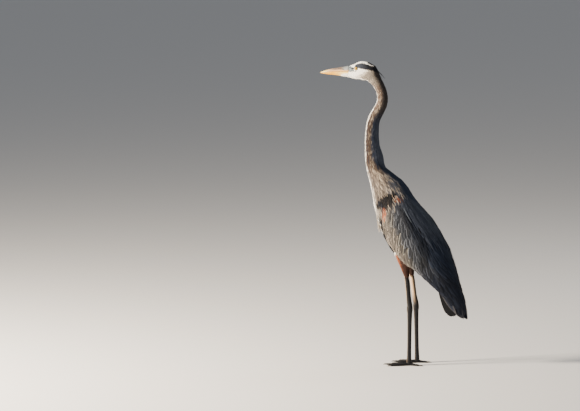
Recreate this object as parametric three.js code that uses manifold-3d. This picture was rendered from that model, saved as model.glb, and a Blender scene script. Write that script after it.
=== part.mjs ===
// A great blue heron standing erect on both feet, life size, as a museum's still model.
// Millimetres, +Z up. The bill points to -X and the bird's left side faces -Y, so Y = 0 is its middle plane.
// The origin is on the floor, under the middle of the bird's box.
import * as THREE from "three";
import { mergeVertices } from "three/addons/utils/BufferGeometryUtils.js";
import Module from "manifold-3d";

// ---------------------------------------------------------------- driving dimensions

const GAP = 0.4; // clearance where two pieces meet
const SEAM = 2 * GAP; // what a neighbour is grown by before it is cut out of a piece

const BILL_TIP = { x: -367, z: 1139 };
const BILL_BASE_X = -252;
const EYE = { x: -221, y: 12.5, z: 1158, radius: 8 };

const LEG_SPREAD = 38; // from the middle plane to each leg
const ANKLE_Z = 222;
const FEATHER_LINE_Z = 340; // where the feathered thigh gives way to the bare shank
const SHANK_REACH = 3; // how far the shank runs into its neighbours before they are cut out of it
const TOE_LENGTHS = { middle: 88, inner: 68, outer: 74, hind: 42 };
const TOE_ANGLES = { middle: 0, inner: -25, outer: 27, hind: 172 }; // degrees from straight ahead, outwards
const CLAW_LENGTH = 15;

// Both legs, from the middle of the thigh down. The right one stands a little further back.
const LEGS = {
  left: { side: -1, hipX: -30, kneeX: -12, ankleX: -1, footX: -3 },
  right: { side: 1, hipX: -24, kneeX: -6, ankleX: 10, footX: 15 },
};

// Rings of the head, neck and trunk, from the base of the bill to the vent, all in the middle plane:
// the ring's middle x and z, then its half depth in that plane and its half width along Y.
const SPINE = [
  [BILL_BASE_X, 1145, 23, 12], // bill base
  [-236, 1145, 28, 15],
  [-221, 1146, 32, 20], // eyes
  [-199, 1150, 38, 23], // crown
  [-168, 1141, 36, 24], // back of the head
  [-150, 1118, 26, 21], // nape
  [-135, 1097, 22.5, 19],
  [-123, 1071, 22, 18.5],
  [-118, 1043, 22.5, 19],
  [-123, 1015, 23.5, 20],
  [-138, 988, 25, 20.5], // kink of the neck
  [-153, 957, 26, 21.5],
  [-159, 913, 28, 23],
  [-159, 862, 31, 26],
  [-151, 811, 39, 32],
  [-141, 759, 40, 38],
  [-114, 715, 58, 52], // base of the neck
  [-87, 671, 77, 64],
  [-65, 617, 84, 68],
  [-27, 539, 96, 68], // breast and back
  [19, 461, 88, 62],
  [78, 394, 54, 50], // belly
  [112, 330, 32, 34],
  [138, 284, 15, 20], // vent
];
const SPINE_CUTS = { nape: 4.6, neckTop: 9, neckMiddle: 13, neckBase: 16 }; // where the spine is parted, in rings

// Rings of the folded wings' outer surface, both wings and the back between them, laid out as SPINE is.
const WING_SHELL = [
  [-86, 708, 44, 52],
  [-70, 660, 70, 68], // shoulders
  [-57, 612, 87, 79],
  [-31, 544, 112, 84],
  [15, 467, 117, 82],
  [80, 398, 92, 70],
  [116, 323, 73, 54],
  [152, 262, 60, 38],
  [184, 205, 38, 24],
  [204, 165, 22, 14], // wing tips
];

// The folded wing's outline seen from the side: down the leading edge and the tips of the coverts, and back outside.
const WING_OUTLINE = [
  [-66, 668],
  [-92, 652],
  [-106, 622], // wrist
  [-111, 574],
  [-103, 528],
  [-86, 488], // lowest corner of the front coverts
  [-57, 444],
  [-21, 405],
  [18, 376],
  [66, 337],
  [112, 292],
  [134, 274],
  [158, 236],
  [186, 196],
  [213, 184], // wing tip
  [240, 180],
  [250, 330],
  [170, 560],
  [60, 700],
  [-20, 682],
];

// ---------------------------------------------------------------- helpers

const wasm = await Module();
wasm.setup();

// A closed solid through rings set square to a path. Each station is { at: Vector3, deep, wide, egg }:
// deep is the half size in the path's upright plane, wide the half size across it, and egg widens the lower half.
// It starts life as a sphere, whose rows become the rings and whose poles close the two flat ends.
function loft(stations, options) {
  const { rings, sides, across = new THREE.Vector3(0, 1, 0), from = 0, to = stations.length - 1 } = options;
  const { grow = 0, square = 2, startGap = 0, endGap = 0 } = options;
  const last = stations.length - 1;
  const path = new THREE.CatmullRomCurve3(stations.map((s) => s.at), false, "centripetal");
  const sizes = new THREE.CatmullRomCurve3(
    stations.map((s) => new THREE.Vector3(s.deep, s.wide, s.egg ?? 0)), false, "catmullrom", 0.5);
  const geometry = new THREE.SphereGeometry(1, sides, rings + 1);
  const positions = geometry.getAttribute("position");
  const bulge = (value) => Math.sign(value) * Math.abs(value) ** (2 / square);
  for (let row = 0; row <= rings + 1; row += 1) {
    const ring = THREE.MathUtils.clamp(row - 1, 0, rings - 1);
    const t = (from + ((to - from) * ring) / (rings - 1)) / last;
    const tangent = path.getTangent(t);
    const wideAxis = across.clone().addScaledVector(tangent, -across.dot(tangent)).normalize();
    const deepAxis = new THREE.Vector3().crossVectors(wideAxis, tangent);
    const size = sizes.getPoint(t);
    const endShift = (ring === 0 ? startGap - grow : 0) + (ring === rings - 1 ? grow - endGap : 0);
    const middle = path.getPoint(t).addScaledVector(tangent, endShift);
    const isPole = row === 0 || row === rings + 1;
    for (let column = 0; column <= sides; column += 1) {
      const angle = (2 * Math.PI * column) / sides;
      const down = isPole ? 0 : bulge(-Math.cos(angle));
      const out = isPole ? 0 : bulge(Math.sin(angle)) * (1 + size.z * down);
      const point = middle
        .clone()
        .addScaledVector(deepAxis, down * (Math.max(size.x, 0.4) + grow))
        .addScaledVector(wideAxis, out * (Math.max(size.y, 0.4) + grow));
      positions.setXYZ(row * (sides + 1) + column, point.x, point.y, point.z);
    }
  }
  return solidOf(geometry);
}

function solidOf(geometry) {
  geometry.deleteAttribute("normal");
  geometry.deleteAttribute("uv");
  const merged = mergeVertices(geometry, 1e-3);
  return new wasm.Manifold(
    new wasm.Mesh({
      numProp: 3,
      vertProperties: merged.getAttribute("position").array,
      triVerts: new Uint32Array(merged.index.array),
    }),
  );
}

function geometryOf(solid) {
  const mesh = solid.getMesh();
  const geometry = new THREE.BufferGeometry();
  geometry.setAttribute("position", new THREE.BufferAttribute(mesh.vertProperties, 3));
  geometry.setIndex(new THREE.BufferAttribute(mesh.triVerts, 1));
  geometry.computeVertexNormals();
  return geometry;
}

// Cuts the neighbours out of a piece, and keeps the largest body that is left.
function carve(solid, ...neighbours) {
  const left = neighbours.reduce((rest, neighbour) => rest.subtract(neighbour), solid);
  return left.decompose().reduce((best, body) => (body.volume() > best.volume() ? body : best));
}

// A slab with the given outline in the XZ plane, from y = low to y = high.
function slab(outline, low, high) {
  const shape = new THREE.Shape(outline.map(([x, z]) => new THREE.Vector2(x, z)));
  const geometry = new THREE.ExtrudeGeometry(shape, { depth: high - low, bevelEnabled: false, steps: 1 });
  geometry.rotateX(Math.PI / 2); // the outline's own Y stands up, and its depth runs along -Y
  geometry.translate(0, high, 0);
  return solidOf(geometry);
}

function block(low, high) {
  const size = high.clone().sub(low);
  const geometry = new THREE.BoxGeometry(size.x, size.y, size.z);
  geometry.translate(low.x + size.x / 2, low.y + size.y / 2, low.z + size.z / 2);
  return solidOf(geometry);
}

function ball(x, y, z, radius, segments) {
  const geometry = new THREE.SphereGeometry(radius, segments, segments / 2);
  geometry.translate(x, y, z);
  return solidOf(geometry);
}

const station = (x, y, z, deep, wide, egg = 0) => ({ at: new THREE.Vector3(x, y, z), deep, wide, egg });
const inMiddlePlane = (rows) => rows.map(([x, z, deep, wide]) => station(x, 0, z, deep, wide));

const finishes = {
  plumage_white: new THREE.MeshStandardMaterial({ color: 0xe8e2d8, roughness: 0.9, metalness: 0 }),
  plumage_neck: new THREE.MeshStandardMaterial({ color: 0x9a8878, roughness: 0.9, metalness: 0 }),
  plumage_slate: new THREE.MeshStandardMaterial({ color: 0x59616c, roughness: 0.85, metalness: 0 }),
  plumage_dark: new THREE.MeshStandardMaterial({ color: 0x24262c, roughness: 0.8, metalness: 0 }),
  plumage_chestnut: new THREE.MeshStandardMaterial({ color: 0x9a4a28, roughness: 0.9, metalness: 0 }),
  bill_horn: new THREE.MeshStandardMaterial({ color: 0xe0a548, roughness: 0.4, metalness: 0 }),
  leg_skin: new THREE.MeshStandardMaterial({ color: 0x4a443c, roughness: 0.65, metalness: 0 }),
  claw_horn: new THREE.MeshStandardMaterial({ color: 0x1d1b19, roughness: 0.45, metalness: 0 }),
  eye_yellow: new THREE.MeshStandardMaterial({ color: 0xe8b820, roughness: 0.1, metalness: 0 }),
};

const heron = new THREE.Group();

function add(name, solid, finish) {
  const mesh = new THREE.Mesh(geometryOf(solid), finishes[finish]);
  mesh.name = name;
  heron.add(mesh);
}

// ---------------------------------------------------------------- head, neck and trunk

const spine = inMiddlePlane(SPINE);
const RINGS_PER_STATION = 1.5;

function spinePiece(from, to, sides, grow = 0, isEnd = false) {
  const rings = Math.round((to - from) * RINGS_PER_STATION) + 2;
  return loft(spine, { from, to, rings, sides, grow, startGap: GAP / 2, endGap: isEnd ? 0 : GAP / 2 });
}

function addHeadAndNeck() {
  const { nape, neckTop, neckMiddle, neckBase } = SPINE_CUTS;
  const sockets = [-1, 1].map((side) => ball(EYE.x, side * EYE.y, EYE.z, EYE.radius + GAP, 12));
  add("head", carve(spinePiece(0, nape, 24), ...sockets), "plumage_white");
  add("neck_upper", spinePiece(nape, neckTop, 18), "plumage_neck");
  add("neck_middle", spinePiece(neckTop, neckMiddle, 18), "plumage_neck");
  add("neck_lower", spinePiece(neckMiddle, neckBase, 18), "plumage_neck");
  add("trunk", spinePiece(neckBase, SPINE.length - 1, 22, 0, true), "plumage_slate");
}

function addEyes() {
  add("eye_left", ball(EYE.x, -EYE.y, EYE.z, EYE.radius, 12), "eye_yellow");
  add("eye_right", ball(EYE.x, EYE.y, EYE.z, EYE.radius, 12), "eye_yellow");
}

// ---------------------------------------------------------------- bill

// The whole dagger, then parted along the mouth: a ridge above, a keel below.
function addBill() {
  const bill = loft(
    [
      station(BILL_BASE_X, 0, 1145, 22, 11.5, 0.12),
      station(-270, 0, 1144.5, 19, 10, 0.1),
      station(-300, 0, 1144, 14.5, 8, 0.06),
      station(-330, 0, 1142, 10, 6, 0),
      station(-352, 0, 1140, 5.5, 3.8, 0),
      station(BILL_TIP.x, 0, BILL_TIP.z, 0.6, 0.6, 0),
    ],
    { rings: 10, sides: 18, square: 1.8, startGap: 3 * GAP },
  );
  const mouth = [
    [-240, 1145.5],
    [-270, 1145],
    [-300, 1144],
    [-330, 1142],
    [-380, 1137.8],
  ];
  const shifted = (up) => mouth.map(([x, z]) => [x, z + up]);
  const below = slab([...shifted(GAP / 2), [-380, 1000], [-240, 1000]], -40, 40);
  const above = slab([...shifted(-GAP / 2), [-380, 1300], [-240, 1300]], -40, 40);
  add("bill_upper", carve(bill, below), "bill_horn");
  add("bill_lower", carve(bill, above), "bill_horn");
}

// ---------------------------------------------------------------- wings and tail

// A folded wing is one half of the shell around the back, cut to its outline and to what it covers.
function addWings() {
  const outer = loft(inMiddlePlane(WING_SHELL), { rings: 12, sides: 20, square: 2.15 });
  const trunk = spinePiece(SPINE_CUTS.neckBase, SPINE.length - 1, 22, SEAM);
  const neck = spinePiece(SPINE_CUTS.neckMiddle, SPINE_CUTS.neckBase, 18, SEAM);
  for (const [name, side] of [["wing_left", -1], ["wing_right", 1]]) {
    const innerFace = side * GAP;
    const outerFace = side * 140;
    const half = slab(WING_OUTLINE, Math.min(innerFace, outerFace), Math.max(innerFace, outerFace));
    const covered = [trunk, neck, tail(SEAM), primaries(side, SEAM), ...thighs(SEAM)];
    add(name, carve(outer.intersect(half), ...covered), "plumage_slate");
  }
}

// The black primaries, which show below the slate feathers that cover them.
function primaries(side, grow = 0) {
  const blade = [
    station(117, side * 24, 298, 6, 4),
    station(132, side * 24, 270, 16, 4.5),
    station(146, side * 22, 238, 18, 4),
    station(158, side * 19, 211, 15, 3),
    station(165, side * 17, 198, 8, 1.5),
  ];
  return loft(blade, { rings: 6, sides: 12, grow, square: 2.3 });
}

function tail(grow = 0) {
  const fan = [
    station(130, 0, 306, 9, 18),
    station(156, 0, 262, 7, 23),
    station(184, 0, 212, 4.5, 22),
    station(200, 0, 184, 2, 16),
  ];
  return loft(fan, { rings: 7, sides: 14, grow, square: 2.2 });
}

function addTail() {
  const trunk = spinePiece(SPINE_CUTS.neckBase, SPINE.length - 1, 22, SEAM);
  add("tail", carve(tail(), trunk), "plumage_dark");
  for (const [name, side] of [["primaries_left", -1], ["primaries_right", 1]]) {
    add(name, carve(primaries(side), trunk, tail(SEAM)), "plumage_dark");
  }
}

// ---------------------------------------------------------------- legs and feet

const AHEAD = new THREE.Vector3(-1, 0, 0);
const UP = new THREE.Vector3(0, 0, 1);

function thigh({ side, hipX, kneeX }, grow = 0) {
  const y = side * LEG_SPREAD;
  const feathers = [
    station(hipX - 4, y, 452, 34, 20),
    station(hipX + 4, y, 424, 30, 19),
    station((hipX + kneeX) / 2 + 2, y, 382, 19, 14),
    station(kneeX, y, FEATHER_LINE_Z, 10.5, 9.5),
  ];
  return loft(feathers, { rings: 7, sides: 14, grow });
}

function thighs(grow) {
  return Object.values(LEGS).map((leg) => thigh(leg, grow));
}

function shank({ side, kneeX, ankleX }) {
  const y = side * LEG_SPREAD;
  const bone = [
    station(kneeX, y, FEATHER_LINE_Z, 8.8, 7.2),
    station((2 * kneeX + ankleX) / 3, y, 300, 7.9, 6.6),
    station((kneeX + 2 * ankleX) / 3, y, 262, 8.1, 6.8),
    station(ankleX, y, ANKLE_Z + 16, 9.6, 8.2),
  ];
  return loft(bone, { rings: 6, sides: 12, startGap: -SHANK_REACH, endGap: -SHANK_REACH });
}

// The tarsus with the knob of the ankle at its top and the toes' roots at its foot.
function tarsus({ side, ankleX, footX }, grow = 0) {
  const y = side * LEG_SPREAD;
  const alongShin = (share) => THREE.MathUtils.lerp(ankleX, footX, share);
  const bone = [
    station(ankleX, y, ANKLE_Z + 16, 9.8, 8.4),
    station(alongShin(0.05), y, ANKLE_Z, 11.4, 9.6),
    station(alongShin(0.12), y, ANKLE_Z - 18, 9, 7.6),
    station(alongShin(0.5), y, 120, 7.5, 6.2),
    station(alongShin(0.85), y, 40, 7.8, 6.8),
    station(footX, y, 18, 9, 8.8),
    station(footX, y, 4, 6.5, 7),
  ];
  return loft(bone, { rings: 11, sides: 11, grow });
}

// A toe runs out from the foot along the floor, its joints swelling, and ends where the claw begins.
function toeLine(leg, name) {
  const outward = THREE.MathUtils.degToRad(TOE_ANGLES[name]) * leg.side;
  const heading = AHEAD.clone().applyAxisAngle(UP, -outward);
  const root = new THREE.Vector3(leg.footX, leg.side * LEG_SPREAD, 0);
  return { heading, root, across: new THREE.Vector3().crossVectors(UP, heading) };
}

function toe(leg, name, grow = 0) {
  const { heading, root, across } = toeLine(leg, name);
  const length = TOE_LENGTHS[name];
  const along = (share, z, size) => ({
    at: root.clone().addScaledVector(heading, 3 + (length - 3) * share).setZ(z),
    deep: size,
    wide: size * 1.08,
  });
  const joints = [
    along(0, 7.5, 6.4),
    along(0.16, 6.4, 5.4),
    along(0.34, 5, 4.6),
    along(0.42, 4.6, 5),
    along(0.56, 4.2, 4.2),
    along(0.7, 4, 4.5),
    along(0.85, 3.6, 3.8),
    along(1, 3.4, 3.2),
  ];
  return loft(joints, { rings: 8, sides: 7, across, grow });
}

function claw(leg, name) {
  const { heading, root, across } = toeLine(leg, name);
  const along = (distance, z, size) => ({
    at: root.clone().addScaledVector(heading, TOE_LENGTHS[name] + distance).setZ(z),
    deep: size,
    wide: size * 0.8,
  });
  const horn = [
    along(0, 3.6, 2.8),
    along(CLAW_LENGTH * 0.4, 4.2, 2.4),
    along(CLAW_LENGTH * 0.75, 3.2, 1.5),
    along(CLAW_LENGTH, 1.4, 0.5),
  ];
  return loft(horn, { rings: 4, sides: 6, across, startGap: GAP });
}

function addLegs() {
  const floor = block(new THREE.Vector3(-400, -200, -60), new THREE.Vector3(400, 200, 0));
  const trunk = spinePiece(SPINE_CUTS.neckBase, SPINE.length - 1, 22, SEAM);
  for (const [sideName, leg] of Object.entries(LEGS)) {
    add(`thigh_${sideName}`, carve(thigh(leg), trunk), "plumage_chestnut");
    add(`shank_${sideName}`, carve(shank(leg), thigh(leg, GAP), tarsus(leg, GAP)), "leg_skin");
    add(`tarsus_${sideName}`, tarsus(leg), "leg_skin");
    const taken = [floor, tarsus(leg, GAP)];
    for (const name of Object.keys(TOE_LENGTHS)) {
      add(`toe_${name}_${sideName}`, carve(toe(leg, name), ...taken), "leg_skin");
      add(`claw_${name}_${sideName}`, carve(claw(leg, name), floor), "claw_horn");
      taken.push(toe(leg, name, GAP));
    }
  }
}

// ---------------------------------------------------------------- long plumes

function addPlumes() {
  const { nape, neckTop } = SPINE_CUTS;
  const head = spinePiece(0, nape, 24, SEAM);
  const neck = spinePiece(nape, neckTop, 18, SEAM);
  const trunk = spinePiece(SPINE_CUTS.neckMiddle, SPINE.length - 1, 22, SEAM);
  for (const [name, side] of [["crest_plume_left", -1], ["crest_plume_right", 1]]) {
    const plume = [
      station(-163, side * 7, 1164, 3, 4),
      station(-144, side * 7, 1154, 2.6, 3.4),
      station(-124, side * 6, 1136, 1.8, 2.4),
      station(-106, side * 4.5, 1117, 0.7, 0.9),
    ];
    add(name, carve(loft(plume, { rings: 7, sides: 8 }), head, neck), "plumage_dark");
  }
  const breast = [
    station(-138, 0, 640, 6, 20),
    station(-136, 0, 590, 10, 27),
    station(-130, 0, 545, 8, 22),
    station(-128, 0, 510, 5, 12),
    station(-128, 0, 484, 1.5, 3),
  ];
  add("breast_plumes", carve(loft(breast, { rings: 8, sides: 14 }), trunk), "plumage_white");
}

addHeadAndNeck();
addEyes();
addBill();
addWings();
addTail();
addLegs();
addPlumes();

// The bird is slid along X until its box is centred on the origin.
const box = new THREE.Box3().setFromObject(heron);
heron.position.x = -(box.min.x + box.max.x) / 2;

export default heron;
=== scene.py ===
# %% [markdown]
# # A great blue heron, standing
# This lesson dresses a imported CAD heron. The CAD solids give the outline out to the feather tips. Here they
# become one skin with a coat of separate vanes laid over it, a horn bill, wet eyes, scaly legs and claws.
# Everything is in metres, in the row's own frame: the bill points to -X and the bird's left side faces -Y.

# %% Load the frame
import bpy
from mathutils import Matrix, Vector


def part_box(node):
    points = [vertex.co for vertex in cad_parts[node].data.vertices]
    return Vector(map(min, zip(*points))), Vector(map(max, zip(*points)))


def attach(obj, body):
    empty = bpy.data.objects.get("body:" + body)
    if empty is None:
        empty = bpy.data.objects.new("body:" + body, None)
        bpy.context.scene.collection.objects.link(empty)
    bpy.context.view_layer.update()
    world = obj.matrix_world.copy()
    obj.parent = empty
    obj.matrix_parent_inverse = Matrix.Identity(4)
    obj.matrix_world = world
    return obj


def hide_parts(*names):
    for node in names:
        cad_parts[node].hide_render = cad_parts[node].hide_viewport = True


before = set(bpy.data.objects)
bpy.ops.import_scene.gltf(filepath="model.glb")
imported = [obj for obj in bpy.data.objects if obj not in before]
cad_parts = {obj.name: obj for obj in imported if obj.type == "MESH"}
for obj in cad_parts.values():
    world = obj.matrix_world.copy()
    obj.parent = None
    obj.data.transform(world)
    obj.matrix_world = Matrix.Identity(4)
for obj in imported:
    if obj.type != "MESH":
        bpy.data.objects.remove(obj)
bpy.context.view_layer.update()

import math

import bmesh
import bpy
import numpy as np
from mathutils import Matrix, Vector
from mathutils.bvhtree import BVHTree
from mathutils.kdtree import KDTree

MM = 0.001
BODY = "root"
SIDES = {"left": -1, "right": 1}
TOES = ("middle", "inner", "outer", "hind")
random = np.random.default_rng(7)

# %% [markdown]
# ## Where things are
# A taxidermist works from landmarks. The eye is the best one, because its CAD node is a plain ball. All later
# places are given in millimetres behind and above a plumb line, which hangs a fixed way behind the eye and
# meets the floor between the feet.

# %% The plumb line
eye_low, eye_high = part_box("eye_left")
EYE_RADIUS = 0.008
EYE_X, EYE_Z = -221, 1158
plumb_x = (eye_low.x + eye_high.x) / 2 - EYE_X * MM
eye_middle = (eye_low + eye_high) / 2
eye_out = EYE_RADIUS - eye_high.y
eye_centre = {side: Vector((eye_middle.x, sign * eye_out, eye_middle.z)) for side, sign in SIDES.items()}


def in_mm(points):
    """Row points, in metres, as millimetres behind the plumb line, to the right and above the floor."""
    return (np.asarray(points, float) - [plumb_x, 0, 0]) / MM


def spot(x, y, z):
    """The row point that lies x mm behind the plumb line, y mm to the right and z mm up."""
    return Vector((plumb_x + x * MM, y * MM, z * MM))


print("the plumb line is at x =", round(plumb_x, 4), "and the eyes at", eye_centre)

# %% [markdown]
# ## The camera
# A bird this wary is seen through a long lens, so the camera stands 15 m off and the picture is nearly
# parallel. The frame is 580 x 411. The bill's tip and the scale fix where the bird stands in it, so the
# camera needs no shift: it is simply aimed at the point that falls in the middle of the frame.

# %% Set up the camera
FRAME_WIDTH, FRAME_HEIGHT = 580, 411
MM_PER_PIXEL = 3.9
BILL_TIP_PIXEL = (320.0, 72.5)
AZIMUTH, ELEVATION = math.radians(12), math.radians(7)
CAMERA_DISTANCE = 15.0
SENSOR_WIDTH = 36.0

across = Vector((math.cos(AZIMUTH), math.sin(AZIMUTH), 0))
towards_camera = Vector(
    (math.sin(AZIMUTH) * math.cos(ELEVATION), -math.cos(AZIMUTH) * math.cos(ELEVATION), math.sin(ELEVATION))
)
upwards = towards_camera.cross(across)
bill_tip = spot(-367, 0, 1139)
aim = (
    bill_tip
    + across * (FRAME_WIDTH / 2 - BILL_TIP_PIXEL[0]) * MM_PER_PIXEL * MM
    + upwards * (BILL_TIP_PIXEL[1] - FRAME_HEIGHT / 2) * MM_PER_PIXEL * MM
)
camera_data = bpy.data.cameras.new("camera")
camera_data.sensor_width = SENSOR_WIDTH
camera_data.lens = SENSOR_WIDTH * CAMERA_DISTANCE / (FRAME_WIDTH * MM_PER_PIXEL * MM)
camera_data.clip_end = 200
camera = bpy.data.objects.new("camera", camera_data)
camera.location = aim + towards_camera * CAMERA_DISTANCE
camera.rotation_euler = towards_camera.to_track_quat("Z", "Y").to_euler()
bpy.context.scene.collection.objects.link(camera)
bpy.context.scene.camera = camera
print("the camera's lens is", round(camera_data.lens, 1), "mm")

# %% [markdown]
# ## Floor and light
# The studio is a wide pale floor under a pale sky. A big soft key stands low in front of the bird and a
# little to the camera's side, as a low morning sun would. It rakes over the feathers, brightens the foreneck
# and leaves the back in soft shade. A weak lamp behind keeps the dark back from closing up.

# %% Build the studio
FLOOR_RADIUS = 90.0
FLOOR_COLOUR = (0.72, 0.71, 0.69)
SKY_COLOUR = (0.77, 0.81, 0.88)
SKY_STRENGTH = 0.32
LAMP_TARGET = Vector((0, 0, 0.65))
LAMPS = {
    # name: place and diameter in metres, power in watts, colour
    "key": ((-3.5, -1.75, 2.1), 0.9, 860, (1.0, 0.87, 0.71)),
    "fill": ((1.2, -4.0, 1.8), 3.0, 18, (0.92, 0.95, 1.0)),
    "rim": ((2.6, 2.6, 2.8), 2.0, 40, (0.90, 0.95, 1.0)),
}


def set_inputs(item, inputs):
    """Sets inputs of a node, each to a value or by a link from another node's output."""
    for key, value in inputs.items():
        if isinstance(value, bpy.types.NodeSocket):
            item.id_data.links.new(value, item.inputs[key])
        elif value is not None:
            item.inputs[key].default_value = value


def new_material(name, roughness):
    """A material with nodes, its tree and its shader."""
    material = bpy.data.materials.new(name)
    material.use_nodes = True
    shader = material.node_tree.nodes["Principled BSDF"]
    set_inputs(shader, {"Roughness": roughness})
    return material, material.node_tree, shader


def add_object(name, data):
    """An object at the origin that shows this mesh or lamp."""
    item = bpy.data.objects.new(name, data)
    bpy.context.scene.collection.objects.link(item)
    return item


floor_mesh = bpy.data.meshes.new("floor")
floor_shape = bmesh.new()
bmesh.ops.create_circle(floor_shape, cap_ends=True, segments=96, radius=FLOOR_RADIUS)
floor_shape.to_mesh(floor_mesh)
floor_shape.free()
floor_material, _, floor_shader = new_material("studio_floor", 0.9)
set_inputs(floor_shader, {"Base Color": (*FLOOR_COLOUR, 1)})
floor_mesh.materials.append(floor_material)
floor = add_object("floor", floor_mesh)

for name, (place, size, power, colour) in LAMPS.items():
    data = bpy.data.lights.new(name, "AREA")
    data.shape = "DISK"
    data.size = size
    data.energy = power
    data.color = colour
    lamp = add_object(name, data)
    lamp.location = place
    lamp.rotation_euler = (Vector(place) - LAMP_TARGET).to_track_quat("Z", "Y").to_euler()
    lamp.visible_camera = False

world = bpy.data.worlds.new("studio")
world.use_nodes = True
sky = world.node_tree.nodes["Background"]
set_inputs(sky, {"Color": (*SKY_COLOUR, 1), "Strength": SKY_STRENGTH})
bpy.context.scene.world = world
print("lamps:", list(LAMPS))

# %% [markdown]
# ## One skin
# Under its feathers a heron is one unbroken skin, so the CAD's parted solids are made whole again. Copies of
# them are swollen a hair so that they overlap, and a voxel remesh turns the lot into one closed surface. It
# is smoothed, so that no facet shows through. The legs are bare and thin, so they get much finer voxels.

# %% Join copies of the flesh and remesh them
BODY_NODES = ["head", "neck_upper", "neck_middle", "neck_lower", "trunk", "thigh_left", "thigh_right"]
WING_NODES = ["wing_left", "wing_right"]
LEG_NODES = [f"{part}_{side}" for side in SIDES for part in ("shank", "tarsus")]
TOE_NODES = [f"toe_{toe}_{side}" for side in SIDES for toe in TOES]
EYE_NODES = ["eye_left", "eye_right"]
SWELL = 0.9 * MM
BODY_VOXEL, LEG_VOXEL = 3.4 * MM, 1.4 * MM
LEG_SWELL = {"shank": 1.7 * MM, "tarsus": 1.0 * MM, "toe": 0.45 * MM}


def gather(names, swell):
    """One mesh of merged, slightly swollen copies of CAD nodes. swell is one amount, or one for each kind."""
    whole = bmesh.new()
    for name in names:
        piece = bmesh.new()
        piece.from_mesh(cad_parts[name].data)
        bmesh.ops.remove_doubles(piece, verts=piece.verts, dist=1e-5)
        piece.normal_update()
        amount = swell[name.split("_")[0]] if isinstance(swell, dict) else swell
        for vertex in piece.verts:
            vertex.co += vertex.normal * amount
        scratch = bpy.data.meshes.new("scratch")
        piece.to_mesh(scratch)
        piece.free()
        whole.from_mesh(scratch)
        bpy.data.meshes.remove(scratch)
    mesh = bpy.data.meshes.new("gathered")
    whole.to_mesh(mesh)
    whole.free()
    return mesh


def voxel_skin(name, mesh, voxel, rounds):
    """The mesh as one closed surface, smoothed by a few rounds."""
    carrier = add_object(name, mesh)
    remesh = carrier.modifiers.new("remesh", "REMESH")
    remesh.mode = "VOXEL"
    remesh.voxel_size = voxel
    smooth = carrier.modifiers.new("smooth", "SMOOTH")
    smooth.factor = 0.5
    smooth.iterations = rounds
    bpy.context.view_layer.update()
    evaluated = carrier.evaluated_get(bpy.context.evaluated_depsgraph_get())
    final = bpy.data.meshes.new_from_object(evaluated)
    bpy.data.objects.remove(carrier)
    bpy.data.meshes.remove(mesh)
    return final


body_mesh = voxel_skin("body", gather(BODY_NODES + WING_NODES + EYE_NODES, SWELL), BODY_VOXEL, 12)
leg_mesh = voxel_skin("legs", gather(LEG_NODES + TOE_NODES, LEG_SWELL), LEG_VOXEL, 3)
print("the body skin has", len(body_mesh.polygons), "faces and the legs", len(leg_mesh.polygons))

# %% [markdown]
# ## The line through the bird
# Feathers all point away from the bill, along the body. To know that direction anywhere, rays are cast
# through the skin in its middle plane: upright cuts through the head, level cuts through neck and body. The
# middles of these cuts are joined into one line, from the bill's root to the wing tips. A point on the skin
# then has a place along the line, an angle round it, and a direction of lie.

# %% Trace the middle line
def read_all(items, name, width, kind=np.float32):
    """One property of all of a mesh's points, edges or corners, as rows of this width."""
    values = np.empty(len(items) * width, kind)
    items.foreach_get(name, values)
    return values.reshape(-1, width)


def mesh_arrays(mesh):
    """The mesh's points and normals."""
    return [read_all(mesh.vertices, name, 3).astype(float) for name in ("co", "normal")]


def faces_of(mesh, first=0):
    """The point numbers of each face, counted from first."""
    return [[first + corner for corner in polygon.vertices] for polygon in mesh.polygons]


def face_finder(points, faces):
    """A search tree for rays and for the nearest place on these faces."""
    return BVHTree.FromPolygons([Vector(point) for point in points], faces)


body_tree = face_finder(mesh_arrays(body_mesh)[0], faces_of(body_mesh))


def middle_of_cut(start, direction):
    """The middle of what a line through the skin passes through, between its first hit from either end."""
    near = body_tree.ray_cast(start, direction)[0]
    far = body_tree.ray_cast(start + direction * 3, -direction)[0]
    return (near + far) / 2


def even_out(rows, rounds):
    """Moves each row but the first and last towards the mean of its neighbours."""
    for _ in range(rounds):
        rows[1:-1] = (rows[:-2] + 2 * rows[1:-1] + rows[2:]) / 4


UP, BACK = Vector((0, 0, 1)), Vector((1, 0, 0))
HEAD_CUTS = np.arange(-249, -168, 8.0)
NECK_CUTS = np.arange(1086, 196, -12.0)
LINE_POINTS = 500
THROAT_X, UNDER_FACE_Z, UNDER_NAPE_Z = -190, 1090, 1100
IN_FRONT_X = -700
head_starts = [spot(x, 0, UNDER_FACE_Z if x < THROAT_X else UNDER_NAPE_Z) for x in HEAD_CUTS]
line = [middle_of_cut(start, UP) for start in head_starts]
line += [middle_of_cut(spot(IN_FRONT_X, 0, z), BACK) for z in NECK_CUTS]
line = np.array([[point.x, point.z] for point in line])
even_out(line, 6)
steps = np.linalg.norm(np.diff(line, axis=0), axis=1)
line_along = np.concatenate([[0], np.cumsum(steps)])
fine_along = np.linspace(0, line_along[-1], LINE_POINTS)
fine_line = np.stack([np.interp(fine_along, line_along, line[:, axis]) for axis in (0, 1)], 1)
fine_tangent = np.gradient(fine_line, axis=0)
fine_tangent /= np.linalg.norm(fine_tangent, axis=1)[:, None]
print("the line is", round(line_along[-1], 3), "m long, through", len(line), "cuts")

# %% [markdown]
# Any point can now be asked where it is along the line, and how far round from the back to the belly.

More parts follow.
